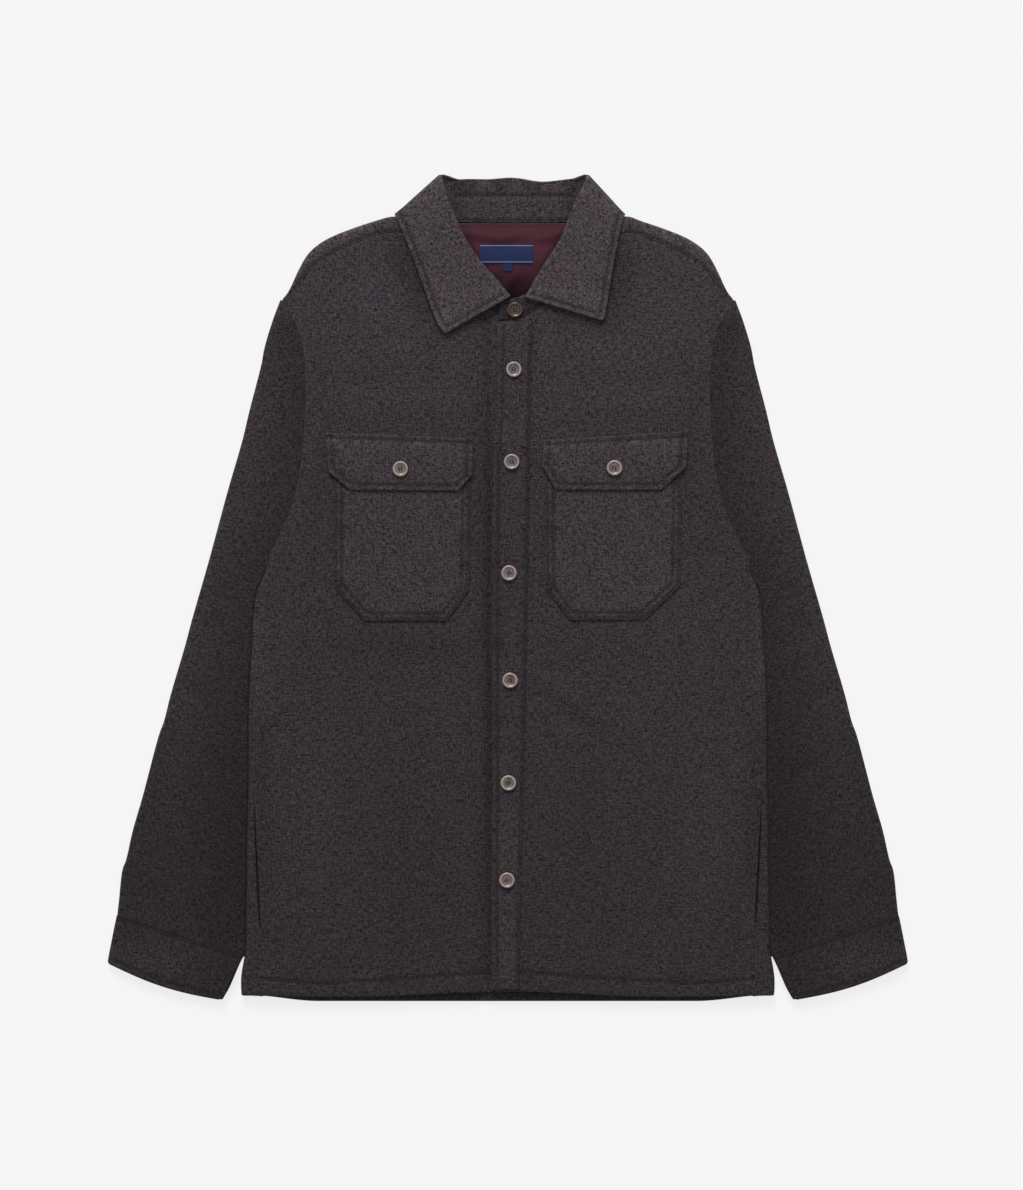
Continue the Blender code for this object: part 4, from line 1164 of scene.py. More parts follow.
def woven_tape(name, ground, line, height, edge):
    """Navy tape with a pale line along each long edge, or none where the line is the ground's colour."""
    finish = Finish(name, Roughness=0.62, Specular_IOR_Level=0.2)
    grain = finish.grain()
    _, down = finish.down(grain)
    from_middle = (down - height / 2).size()
    near_line = (from_middle - (height / 2 - edge)).size()
    on_line = (1.0 - near_line * (1 / 0.00042)).clamped(0.0, 1.0)
    ribs = (down * (math.tau / 0.0006)).sine() * 0.5 + 0.5
    threads = finish.noise(grain, 1000.0, (1.5, 0.5, 1.0), detail=1.0)
    woven = finish.mix((threads * 0.8 + ribs * 0.2).clamped(0.0, 1.0), ground, scaled(ground, 1.5))
    finish.drive("Base Color", finish.mix(on_line, woven, line))
    finish.bump(ribs + threads, 0.35, 0.00015)
    return finish.material


def horn(colours):
    """Brown horn with cloudy streaks, dark in the dish and paler at the rim, a painted highlight, with
    painted shade from the tone attribute.
    """
    finish = Finish("clouded_horn", Coat_Roughness=0.2, Specular_IOR_Level=0.55)
    place = finish.place()
    streaks = finish.noise(place, 260.0, (1.0, 0.35, 1.0), detail=3.0, rough=0.6, warp=0.8)
    fine = finish.noise(place, 1400.0)
    reach = finish.node("ShaderNodeVectorMath", {0: finish.grain()}, output=1, operation="LENGTH")
    # painted highlight: the rim is made paler, as the light catches it
    rim = ((reach - 0.0050) * 900.0).clamped(0.0, 1.0)
    share = (streaks * 1.1 + fine * 0.3 - 0.38 + rim * 0.62).clamped(0.0, 1.0)
    colour = finish.mix(share, colours.horn_dark, colours.horn_pale_and_rim_highlight)
    tone = finish.node("ShaderNodeAttribute", output=1, attribute_name="tone")
    finish.drive("Base Color", finish.product(colour, tone))
    finish.drive("Roughness", fine * 0.2 + 0.28)
    finish.drive("Coat Weight", (0.45 - streaks * 0.3).clamped(0.0, 0.5))
    finish.bump(streaks + fine * 0.3, 0.12, 0.0002)
    return finish.material


def floor_finish(stage):
    """Near-white ground with the faintest mottle."""
    finish = Finish("pale_ground", Roughness=0.85, Specular_IOR_Level=0.1,
                    Emission_Strength=stage.ground_glow, Emission_Color=(1.0, 1.0, 1.0, 1))
    place = finish.place()
    mottle = finish.noise(place, 3.0)
    finish.drive("Base Color", finish.mix(mottle, scaled(stage.ground, 0.992), stage.ground))
    return finish.material


# Stitches
def stitch_tree():
    """Geometry Nodes: plump stitches along every line of a mesh."""
    tree = bpy.data.node_groups.new("stitches_along_lines", "GeometryNodeTree")
    face = tree.interface
    face.new_socket("Lines", in_out="INPUT", socket_type="NodeSocketGeometry")
    for label, kind in (("Pitch", "Float"), ("Stitch Length", "Float"), ("Thread Radius", "Float"),
                        ("Turn", "Float"), ("Unevenness", "Float"), ("Seed", "Int"), ("Thread", "Material")):
        face.new_socket(label, in_out="INPUT", socket_type=f"NodeSocket{kind}")
    face.new_socket("Stitches", in_out="OUTPUT", socket_type="NodeSocketGeometry")

    def node(kind, inputs=(), **settings):
        made = tree.nodes.new(kind)
        for setting, value in settings.items():
            setattr(made, setting, value)
        for socket, value in dict(inputs).items():
            if isinstance(value, bpy.types.NodeSocket):
                tree.links.new(value, made.inputs[socket])
            else:
                made.inputs[socket].default_value = value
        return made

    given = node("NodeGroupInput").outputs
    lines = node("GeometryNodeMeshToCurve", {"Mesh": given["Lines"]})
    points = node("GeometryNodeResampleCurve", {
        "Curve": lines.outputs[0], "Length": given["Pitch"]}, mode="LENGTH")
    ball = node("GeometryNodeMeshUVSphere", {"Segments": 6, "Rings": 4, "Radius": 1.0})
    half = node("ShaderNodeMath", {0: given["Stitch Length"], 1: 0.5}, operation="MULTIPLY")
    shape = node("ShaderNodeCombineXYZ", {
        0: half.outputs[0], 1: given["Thread Radius"], 2: given["Thread Radius"]})
    stitch = node("GeometryNodeTransform", {"Geometry": ball.outputs[0], "Scale": shape.outputs[0]})
    tangent = node("GeometryNodeInputTangent")
    along = node("FunctionNodeAlignRotationToVector", {
        "Vector": tangent.outputs[0]}, axis="X", pivot_axis="Z")
    jitter = node("ShaderNodeMath", {0: given["Unevenness"], 1: -1.0}, operation="MULTIPLY")
    chance = node("FunctionNodeRandomValue", {
        2: jitter.outputs[0], 3: given["Unevenness"], "Seed": given["Seed"]}, data_type="FLOAT")
    turned = node("ShaderNodeMath", {0: given["Turn"], 1: chance.outputs[1]}, operation="ADD")
    euler = node("ShaderNodeCombineXYZ", {2: turned.outputs[0]})
    turn = node("FunctionNodeEulerToRotation", {0: euler.outputs[0]})
    facing = node("FunctionNodeRotateRotation", {
        0: along.outputs[0], 1: turn.outputs[0]}, rotation_space="LOCAL")
    placed = node("GeometryNodeInstanceOnPoints", {
        "Points": points.outputs[0], "Instance": stitch.outputs[0], "Rotation": facing.outputs[0]})
    real = node("GeometryNodeRealizeInstances", {0: placed.outputs[0]})
    coloured = node("GeometryNodeSetMaterial", {"Geometry": real.outputs[0], "Material": given["Thread"]})
    node("NodeGroupOutput", {0: coloured.outputs[0]})
    return tree


def sew(name, lines, finish, pitch, length, radius, seed, turn=0.0):
    """Stitches along lines of points in metres, as one piece."""
    places = [tuple(point) for line in lines for point in line]
    edges = []
    first = 0
    for line in lines:
        edges += [(first + step, first + step + 1) for step in range(len(line) - 1)]
        first += len(line)
    mesh = bpy.data.meshes.new("sewn_lines")
    mesh.from_pydata(places, edges, [])
    guide = linked("sewn_lines", mesh)
    tree = bpy.data.node_groups.get("stitches_along_lines") or stitch_tree()
    wanted = {"Pitch": pitch, "Stitch Length": length, "Thread Radius": radius, "Turn": turn,
              "Unevenness": STITCH_UNEVENNESS, "Seed": seed, "Thread": finish}
    stitches = guide.modifiers.new("stitches", "NODES")
    stitches.node_group = tree
    for item in tree.interface.items_tree:
        if item.in_out == "INPUT" and item.name in wanted:
            stitches[item.identifier] = wanted[item.name]
    made = evaluated_mesh(guide)
    made.name = name
    if not made.polygons:
        raise RuntimeError(f"{name} has no stitches")
    add_piece(name, made)


def surface(*pieces):
    """Trees of the pieces' faces, to lay thread on."""
    trees = []
    for piece in pieces:
        mesh = piece.data
        trees.append(BVHTree.FromPolygons([v.co for v in mesh.vertices], [p.vertices for p in mesh.polygons]))
    return trees


def laid_on(line, trees, sink=0.08, step=1.2, from_below=False):
    """A plan line in millimetres laid on the cloth, as stretches of points in metres."""
    line = np.array(line, dtype=float)
    reached = np.concatenate([[0], np.cumsum(np.linalg.norm(np.diff(line, axis=0), axis=1))])
    wanted = np.linspace(0, reached[-1], max(2, round(reached[-1] / step)))
    stretches = [[]]
    for x, y in zip(np.interp(wanted, reached, line[:, 0]), np.interp(wanted, reached, line[:, 1])):
        start = Vector((x * MM, y * MM, -0.05 if from_below else 0.05))
        way = Vector((0, 0, 1 if from_below else -1))
        hits = [tree.ray_cast(start, way)[0] for tree in trees]
        heights = [hit.z for hit in hits if hit is not None]
        if heights:
            height = min(heights) + sink * MM if from_below else max(heights) - sink * MM
            stretches[-1].append((x * MM, y * MM, height))
        elif stretches[-1]:
            stretches.append([])
    return [stretch for stretch in stretches if len(stretch) > 1]


def inset_line(corners, distance):
    """Open line moved to its left by a distance, with its corners kept sharp."""
    corners = np.array(corners, dtype=float)
    left = left_of(np.diff(corners, axis=0))
    moved = [corners[0] + left[0] * distance]
    for index in range(1, len(corners) - 1):
        bisector = left[index - 1] + left[index]
        moved.append(corners[index] + bisector * distance / (1 + left[index - 1] @ left[index]))
    moved.append(corners[-1] + left[-1] * distance)
    return np.array(moved)


def mirrored(lines, side):
    """Lines for the left side, turned over for the right one."""
    return [[(side * x, y) for x, y in line] for line in lines]


# Painted light and shade of the cloth by place, kept in the tone attribute
def wool_painted_shading(x, y):
    """Painted light and shade: slightly paler towards the collar, where the light comes from, darker towards
    the hem, with darker and paler painted bands.
    """
    fall = 0.96 + 0.28 * smoothstep((y - 20) / 360) - 0.13 * smoothstep(-y / 380) + 0.02 * smoothstep(x / 60)
    return fall * (1 + creased(x, y, PAINTED_SHADING_BANDS))


def raised_painted_shading(x, y):
    """The yoke, pockets and flaps, painted paler, as they catch a little more light than the front."""
    return wool_painted_shading(x, y) * 1.23


def placket_painted_shading(x, y):
    """Painted light: the placket is kept paler down to the hem, against the painted shade of the wool there.
    """
    return wool_painted_shading(x, y) * (1 + 0.24 * smoothstep((-140 - y) / 120.0))


def collar_painted_shading(x, y):
    """Painted light: paler all over, palest towards the collar's points, where it catches the light, and on
    the roll at the back.
    """
    roll = 0.13 * smoothstep((y - 394) / 9.0)
    point = 0.36 * smoothstep((318 - y) / 60.0)
    return 1.57 + roll + point + 0.04 * smoothstep(x / 60.0)


def behind_neck(x, y):
    """1 on the part of the stand that lies at the back of the neck."""
    return smoothstep((66.0 - np.abs(x - NECK_CENTRE)) / 9.0) * smoothstep((y - 358.0) / 5.0)


def stand_painted_shading(x, y):
    """Painted shade on the stand, under its upper edge at the back, at the ends there and round the button at
    the front, with painted highlights on the ledge and ripples.
    """
    behind = behind_neck(x, y)
    ledge = 0.36 * np.exp(-((y - STAND_LEDGE + 1.0) / 2.0) ** 2)
    groove = 0.5 * np.exp(-((y - STAND_LEDGE - 2.6) / 2.6) ** 2)
    ends = smoothstep((np.abs(x - NECK_CENTRE) - 42.0) / 16.0)
    front = smoothstep((296.0 - y) / 14.0)
    ripple = 0.24 * np.sin(x / 6.1 + np.sin(x / 17.0)) * smoothstep((y - 394) / 6.0)
    shade = (1 + behind * (ledge - groove)) * (1 - 0.25 * behind * ends) * (1 - 0.42 * front)
    return (1.26 + ripple) * shade


def sleeve_painted_shading(x, y):
    """Painted shade in the hollow beside the body and towards the hand, and painted light towards the
    shoulder.
    """
    hollow = 1 - smoothstep((np.abs(x) - body_edge(y)) / (70.0 - 0.06 * y))
    head = smoothstep((y - 255) / 30.0)
    hand = 1 - 0.32 * smoothstep((-10 - y) / 260.0) + 0.16 * smoothstep((-345 - y) / 20.0)
    upper = 1 + 0.12 * smoothstep((y - 20) / 300)
    return upper * hand * (1 - 0.36 * hollow * (1 - head))


def lining_painted_shading(x, y):
    """Painted shade on the lining, low in the neck, beside the collar and at its top, with painted light and
    shade on its folds.
    """
    low = smoothstep((332.0 - y) / 42.0)
    beside = smoothstep((np.abs(x - NECK_CENTRE) - 0.62 * (y - 270.0)) / 9.0)
    folds = sum(crease(x, y, line, 4.5, 0.75 * height) for line, _, height in LINING_CREASES)
    return (1 - 0.88 * low) * (1 - 0.3 * beside) * (1 - 0.35 * smoothstep((y - 359.0) / 5.0)) * (1.08 - folds)


# Settings
def length_setting(name, description, default):
    return bpy.props.FloatProperty(name=name, description=description, default=default, unit="LENGTH")


def colour_setting(name, description, default):
    return bpy.props.FloatVectorProperty(name=name, description=description, default=default, subtype="COLOR")


def light_setting(name, description, default):
    return bpy.props.FloatProperty(name=name, description=description, default=default)


class JacketCloth(bpy.types.PropertyGroup):
    spacing: length_setting("Point spacing", "Distance between points on the broad pieces", 0.0036)
    fine: length_setting("Fine spacing", "Distance between points on small pieces and at edges", 0.0016)


class JacketColours(bpy.types.PropertyGroup):
    wool_dark: colour_setting("Dark fibres", "Darkest fibres of the wool", (0.0100, 0.0078, 0.0088))
    wool_pale: colour_setting("Pale fibres", "Palest fibres of the wool", (0.0770, 0.0635, 0.0710))
    wool_warm: colour_setting("Warm fibres", "Brown fibres among the grey", (0.064, 0.043, 0.041))
    thread: colour_setting("Thread", "Sewing thread", (0.012, 0.010, 0.011))
    lining: colour_setting("Lining", "Satin inside the neck", (0.092, 0.029, 0.042))
    label: colour_setting("Label", "Ground of the neck label", (0.014, 0.022, 0.078))
    label_line: colour_setting("Label lines", "Pale lines along the label", (0.42, 0.46, 0.55))
    horn_dark: colour_setting("Dark horn", "Dark clouds in the buttons", (0.030, 0.017, 0.012))
    # the pale horn colour also paints the highlight on each button's rim
    horn_pale_and_rim_highlight: colour_setting("Pale horn", "Pale streaks in the buttons", (0.37, 0.29, 0.27))


class JacketStitches(bpy.types.PropertyGroup):
    pitch: length_setting("Pitch", "Distance from one stitch to the next", 0.0031)
    length: length_setting("Stitch length", "Length of each stitch", 0.0026)
    radius: length_setting("Thread radius", "Half the thickness of the thread", 0.00042)


class JacketStage(bpy.types.PropertyGroup):
    ground: colour_setting("Ground", "Colour of the surface under the jacket", (0.16, 0.16, 0.16))
    ground_glow: light_setting("Ground glow", "Light given off by the ground, for a cut-out look", 0.785)
    room: light_setting("Room light", "Strength of the light all round", 0.36)
    camera_height: length_setting("Camera height", "Height of the camera above the jacket", 3.6)
    key: light_setting("Key light", "Strength of the soft light from beyond the collar", 2.6)
    fill: light_setting("Fill light", "Watts of the broad light above", 6.0)


SETTINGS = {"jacket_cloth": JacketCloth, "jacket_colours": JacketColours, "jacket_stitches": JacketStitches,
            "jacket_stage": JacketStage}


def wool(context):
    """The wool, made once."""
    return bpy.data.materials.get("melange_wool") or brushed_wool(context.scene.jacket_colours)


def sewing_thread(context):
    """The thread, made once."""
    return bpy.data.materials.get("sewing_thread") or thread(context.scene.jacket_colours)


def lining_satin(context):
    """The lining's satin, made once."""
    return bpy.data.materials.get("burgundy_satin") or satin(context.scene.jacket_colours)


def sizes(context):
    """Point spacings in millimetres, broad and fine."""
    cloth = context.scene.jacket_cloth
    return cloth.spacing / MM, cloth.fine / MM


def topstitch(context, name, lines, seed):
    """Running stitches in the jacket's own pitch and thread."""
    stitches = context.scene.jacket_stitches
    sew(name, lines, sewing_thread(context), stitches.pitch, stitches.length, stitches.radius, seed)


def laid_lines(lines, trees, **how):
    """Several plan lines laid on the cloth."""
    return [stretch for line in lines for stretch in laid_on(line, trees, **how)]


def sewn_relief(lines, more=None):
    """What several sewn lines do to the upper side of a piece, with any other relief."""
    def relief(x, y, up):
        lift = sum(sewn(x, y, line) for line in lines) * np.clip(up, 0, 1)
        return lift if more is None else lift + more(x, y, up)
    return relief


def sewn_painted_shading(lines, tone):
    """The painted shading of a piece: painted shade in its sewn lines, and uneven painted light and shade
    beside them.
    """
    return lambda x, y: tone(x, y) * (1 + SEWN_SHADE * sum(sewn(x, y, line) for line in lines))


def wool_piece(context, node, grid, wall, relief, tone, cut=None):
    """A piece of wool cloth, standing for its solid."""
    piece = add_cloth(f"wool_{node}", grid, wall, wool(context), relief, tone, cut)
    declare(node, grid)
    return piece


def sewn_wool(context, node, grid, wall, lines, tone, seed, more=None):
    """A wool piece with its sewn lines and their stitches. The trees of its faces come back."""
    trees = surface(wool_piece(context, node, grid, wall, sewn_relief(lines, more),
                               sewn_painted_shading(lines, tone)))
    topstitch(context, f"stitches_{node}", laid_lines(lines, trees), seed)
    return trees


def parallel(grid, distance, last=False):
    """Plan line across a grid at a distance in from its first row, or from its last."""
    rows = grid[::-1] if last else grid
    steps = np.cumsum(np.linalg.norm(np.diff(rows, axis=0), axis=2), axis=0)
    reached = np.vstack([np.zeros((1, rows.shape[1])), steps])
    return np.array([[np.interp(distance, reached[:, c], rows[:, c, axis]) for axis in (0, 1)]
                     for c in range(rows.shape[1])])


class JACKET_OT_back(bpy.types.Operator):
    """Make the back, with its sides round onto the front"""
    bl_idname = "jacket.back"
    bl_label = "Back"

    def execute(self, context):
        broad, fine = sizes(context)
        grid, cut = back_grid(broad * 1.2, fine)
        piece = wool_piece(context, "back", grid, BODY_WALL, None, wool_painted_shading, cut)
        hem = [(-246, -391), (-120, -393), (0, -394), (120, -393), (246, -391)]
        seam = [(-198, 259.5), (0, 259.5), (198, 259.5)]
        lines = laid_lines((hem, seam), surface(piece), sink=0.3, from_below=True)
        topstitch(context, "stitches_back", lines, 2)
        return {"FINISHED"}


class JACKET_OT_yoke(bpy.types.Operator):
    """Make the yoke, over both shoulders"""
    bl_idname = "jacket.yoke"
    bl_label = "Yoke"

    def execute(self, context):
        broad, _ = sizes(context)
        lines = []
        for side in (-1, 1):
            seam = shoulder_columns(side, np.linspace(0, 0.8, 16))[:, 2:]
            lines.append(inset_line(seam, -YOKE_STITCH_INSET) * [side, 1])
        sewn_wool(context, "yoke", yoke_grid(broad), BODY_WALL, lines, raised_painted_shading, 3)
        return {"FINISHED"}


class JACKET_OT_fronts(bpy.types.Operator):
    """Make both fronts, with the hem and the ends of the side pockets sewn"""
    bl_idname = "jacket.fronts"
    bl_label = "Fronts"

    def execute(self, context):
        broad, fine = sizes(context)
        for side, word in SIDES:
            hem = mirrored([HEM_STITCH], side)[0]
            grid, cut = front_grid(side, broad, fine)
            tacks = mirrored(POCKET_TACKS, side)
            piece = wool_piece(context, f"front_{word}", grid, BODY_WALL,
                               sewn_relief([hem, *tacks]), sewn_painted_shading([hem, *tacks], wool_painted_shading), cut)
            topstitch(context, f"stitches_hem_{word}", laid_on(hem, surface(piece)), 4)
            trees = surface(piece, bpy.data.objects["wool_back"])
            bars = laid_lines(tacks, trees, sink=0.0)
            sew(f"bar_tacks_{word}", bars, sewing_thread(context), TACK_PITCH, TACK_LENGTH,
                context.scene.jacket_stitches.radius, 5, turn=math.pi / 2)
        return {"FINISHED"}


class JACKET_OT_sleeves(bpy.types.Operator):
    """Make both sleeves and their cuffs"""
    bl_idname = "jacket.sleeves"
    bl_label = "Sleeves and cuffs"

    def execute(self, context):
        broad, fine = sizes(context)
        for side, word in SIDES:
            grid = sleeve_grid(side, broad)

            def slack(x, y, up, side=side):
                lift = creased(x, y, SLEEVE_CREASES[side])
                inner = np.exp(-((np.abs(x) - body_edge(y) - 20) / 16.0) ** 2)
                inner = inner * (1 - smoothstep((y - 250) / 25.0))
                return (lift - 1.1 * inner) * smoothstep((up - 0.3) / 0.6)

            wool_piece(context, f"sleeve_{word}", grid, SLEEVE_WALL, slack, sleeve_painted_shading)
            grid = cuff_grid(side, fine)
            upper = slice(6, SLEEVE_EDGE_POINTS + SLEEVE_TOP_POINTS + 6)
            lower = slice(SLEEVE_EDGE_POINTS + SLEEVE_TOP_POINTS + 8, None)
            rows = [parallel(grid, CUFF_SEAM_INSET), parallel(grid, CUFF_EDGE_INSET, last=True)]
            lines = [row[upper][::3] for row in rows]
            trees = surface(wool_piece(context, f"cuff_{word}", grid, SLEEVE_WALL,
                                       sewn_relief(lines), sewn_painted_shading(lines, sleeve_painted_shading)))
            laid = laid_lines(lines, trees)
            laid += laid_lines([row[lower] for row in rows], trees, sink=0.3, from_below=True)
            topstitch(context, f"stitches_cuff_{word}", laid, 6)
            self.edge(context, grid, word)
        return {"FINISHED"}

    def edge(self, context, grid, word):
        """The thin edge of the lining that shows along the cuff's opening."""
        shown = slice(7, SLEEVE_EDGE_POINTS + SLEEVE_TOP_POINTS + 5)
        out = grid[-1] - grid[-6]
        out = out / np.linalg.norm(out, axis=1)[:, None]
        path = (grid[-1] + out * 0.35 - [0, 0, 1.3])[shown] * MM
        curve = bpy.data.curves.new("cuff_edge", "CURVE")
        curve.dimensions = "3D"
        curve.bevel_depth = CUFF_EDGE_RADIUS * MM
        curve.bevel_resolution = 2
        curve.use_fill_caps = True
        spline = curve.splines.new("POLY")
        spline.points.add(len(path) - 1)
        for point, place in zip(spline.points, path):
            point.co = (*place, 1.0)
        made = evaluated_mesh(linked("cuff_edge", curve))
        # painted shade: the satin is darkened to 0.6 in the cuff's opening
        made.attributes.new("tone", "FLOAT", "POINT").data.foreach_set("value", [0.6] * len(made.vertices))
        made.materials.clear()
        made.materials.append(lining_satin(context))
        add_piece(f"cuff_edge_{word}", made)


class JACKET_OT_chest_pockets(bpy.types.Operator):
    """Make the chest pockets and their flaps, with their topstitching"""
    bl_idname = "jacket.chest_pockets"
    bl_label = "Chest pockets"

    def execute(self, context):
        _, fine = sizes(context)
        for side, word in SIDES:
            front, pocket, flap = f"front_{word}", f"pocket_{word}", f"flap_{word}"
            corners = POCKETS[pocket]
            lines = [inset_line(corners, inset) for inset in POCKET_STITCH_INSETS]
            grid = applied_grid(corners, side, pocket_lift, fine, POCKET_WALL)
            sewn_wool(context, pocket, grid, POCKET_WALL, lines, raised_painted_shading, 7)
            corners = FLAPS[flap]
            top = np.array([corners[0], corners[-1]]) - [0, FLAP_TOP_INSET]
            lines = [inset_line(corners, FLAP_STITCH_INSET), top + [[1.5, 0], [-1.5, 0]]]
            grid = applied_grid(corners, side, flap_lift, fine, FLAP_WALL)
            sewn_wool(context, flap, grid, FLAP_WALL, lines, raised_painted_shading, 8)
        return {"FINISHED"}


class JACKET_OT_placket(bpy.types.Operator):
    """Make the placket with its buttonholes"""
    bl_idname = "jacket.placket"
    bl_label = "Placket"

    def execute(self, context):
        _, fine = sizes(context)
        levels = np.linspace(263.0, -399.0, 90)
        left_inset, right_inset = PLACKET_STITCH_INSETS
        lines = [np.column_stack([left_front_edge(levels) + left_inset, levels]),
                 np.column_stack([placket_inner_edge(levels) - right_inset, levels])]
        trees = sewn_wool(context, "placket", placket_grid(fine), PLACKET_WALL, lines, placket_painted_shading,
                          9)
        loops = laid_lines([self.loop(x, y) for x, y in FRONT_BUTTONS], trees, sink=0.0, step=0.5)
        sew("buttonholes", loops, sewing_thread(context), HOLE_PITCH, HOLE_STITCH,
            context.scene.jacket_stitches.radius * 0.8, 10, turn=math.pi / 2)
        return {"FINISHED"}

    def loop(self, x, y):
        """Closed line round one upright buttonhole."""
        half = BUTTONHOLE_WIDTH / 2
        straight = BUTTONHOLE_LENGTH / 2 - half
        turns = np.linspace(0, math.pi, 9)
        upper = [(x + half * math.cos(turn), y + straight + half * math.sin(turn)) for turn in turns]
        lower = [(x - half * math.cos(turn), y - straight - half * math.sin(turn)) for turn in turns]
        return upper + lower + upper[:1]


class JACKET_OT_collar(bpy.types.Operator):
    """Make the collar stand and the fall that turns over it"""
    bl_idname = "jacket.collar"
    bl_label = "Collar"

    def execute(self, context):
        _, fine = sizes(context)
        fall = self.waved(collar_fall_grid(fine))
        edge = parallel(fall, COLLAR_STITCH_INSET)
        far_edge = parallel(fall, COLLAR_STITCH_INSET, last=True)
        free = parallel(fall.transpose(1, 0, 2), COLLAR_STITCH_INSET, last=True)
        shown = free[7:-7:3][fall[7:-7:3, -1, 2] > 8.0]
        lines = [edge[10:-7:2], far_edge[10:-7:2], shown[shown[:, 0] < 0], shown[shown[:, 0] > 0]]
        sewn_wool(context, "collar_fall", fall, COLLAR_WALL, lines, collar_painted_shading, 11)
        stand = self.waved(collar_stand_grid(fine))
        bottom = [(-52.0, 369.2), (-20.0, 368.4), (6.5, 368.2), (34.0, 368.4), (65.0, 369.2)]
        under_button = parallel(stand.transpose(1, 0, 2), STAND_STITCH_INSET)[-34:-6:2]
        sewn_wool(context, "collar_stand", stand, STAND_WALL, [bottom, under_button], stand_painted_shading,
                  12, self.ledge)
        return {"FINISHED"}

    def waved(self, grid):
        """The roll at the back of the neck, a little uneven along its top."""
        x, y = grid[:, :, 0], grid[:, :, 1]
        share = smoothstep((y - 395.0) / 9.0) * smoothstep((62.0 - np.abs(x - NECK_CENTRE)) / 12.0)
        wave = np.sin(x / 8.3 + 0.7) * 0.6 + np.sin(x / 17.0 + 2.1)
        grid[:, :, 1] = y + COLLAR_WAVE * share * wave
        return grid

    def ledge(self, x, y, up):
        """The upper edge of the stand, which lies over the fall's inside at the back of the neck."""
        behind = behind_neck(x, y)
        uneven = STAND_LEDGE + 0.5 * np.sin(x / 11.0)
        step = smoothstep((uneven + 0.5 - y) / 1.1)
        groove = np.exp(-((y - uneven - 1.6) / 1.5) ** 2)
        roll = smoothstep((y - uneven - 2.0) / 9.0)
        return behind * np.clip(up, 0, 1) * (0.8 * step - 0.7 * groove + 0.6 * roll)


class JACKET_OT_neck(bpy.types.Operator):
    """Make the lining inside the neck, with its bare label and tab"""
    bl_idname = "jacket.neck"
    bl_label = "Neck lining"

    def execute(self, context):
        colours = context.scene.jacket_colours
        grid = lining_grid(2.0)
        piece = add_cloth("satin_neck_lining", grid, LINING_WALL, lining_satin(context), tone=lining_painted_shading,
                          cut=grid[:, :, :2].copy())
        declare("neck_lining", grid)
        height = (LABEL["y"][1] - LABEL["y"][0]) * MM
        ground = tuple(colours.label)
        tape = woven_tape("label_tape", ground, tuple(colours.label_line), height, LABEL_LINE_INSET * MM)
        plain = woven_tape("tab_tape", ground, ground, height, LABEL_LINE_INSET * MM)
        tab, _ = self.on_lining("tape_size_tab", SIZE_TAB, plain)
        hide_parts("size_tab")
        label, grid = self.on_lining("tape_neck_label", LABEL, tape)
        declare("neck_label", grid)
        return {"FINISHED"}

    def on_lining(self, name, spot, finish):
        """A piece of tape on the lining, and the grid it is made from."""
        grid = on_lining_grid(spot, 1.0, LABEL_WALL / 2)
        cut = grid[:, :, :2] - [spot["x"][0], spot["y"][0]]
        return add_cloth(name, grid, LABEL_WALL, finish, cut=cut), grid


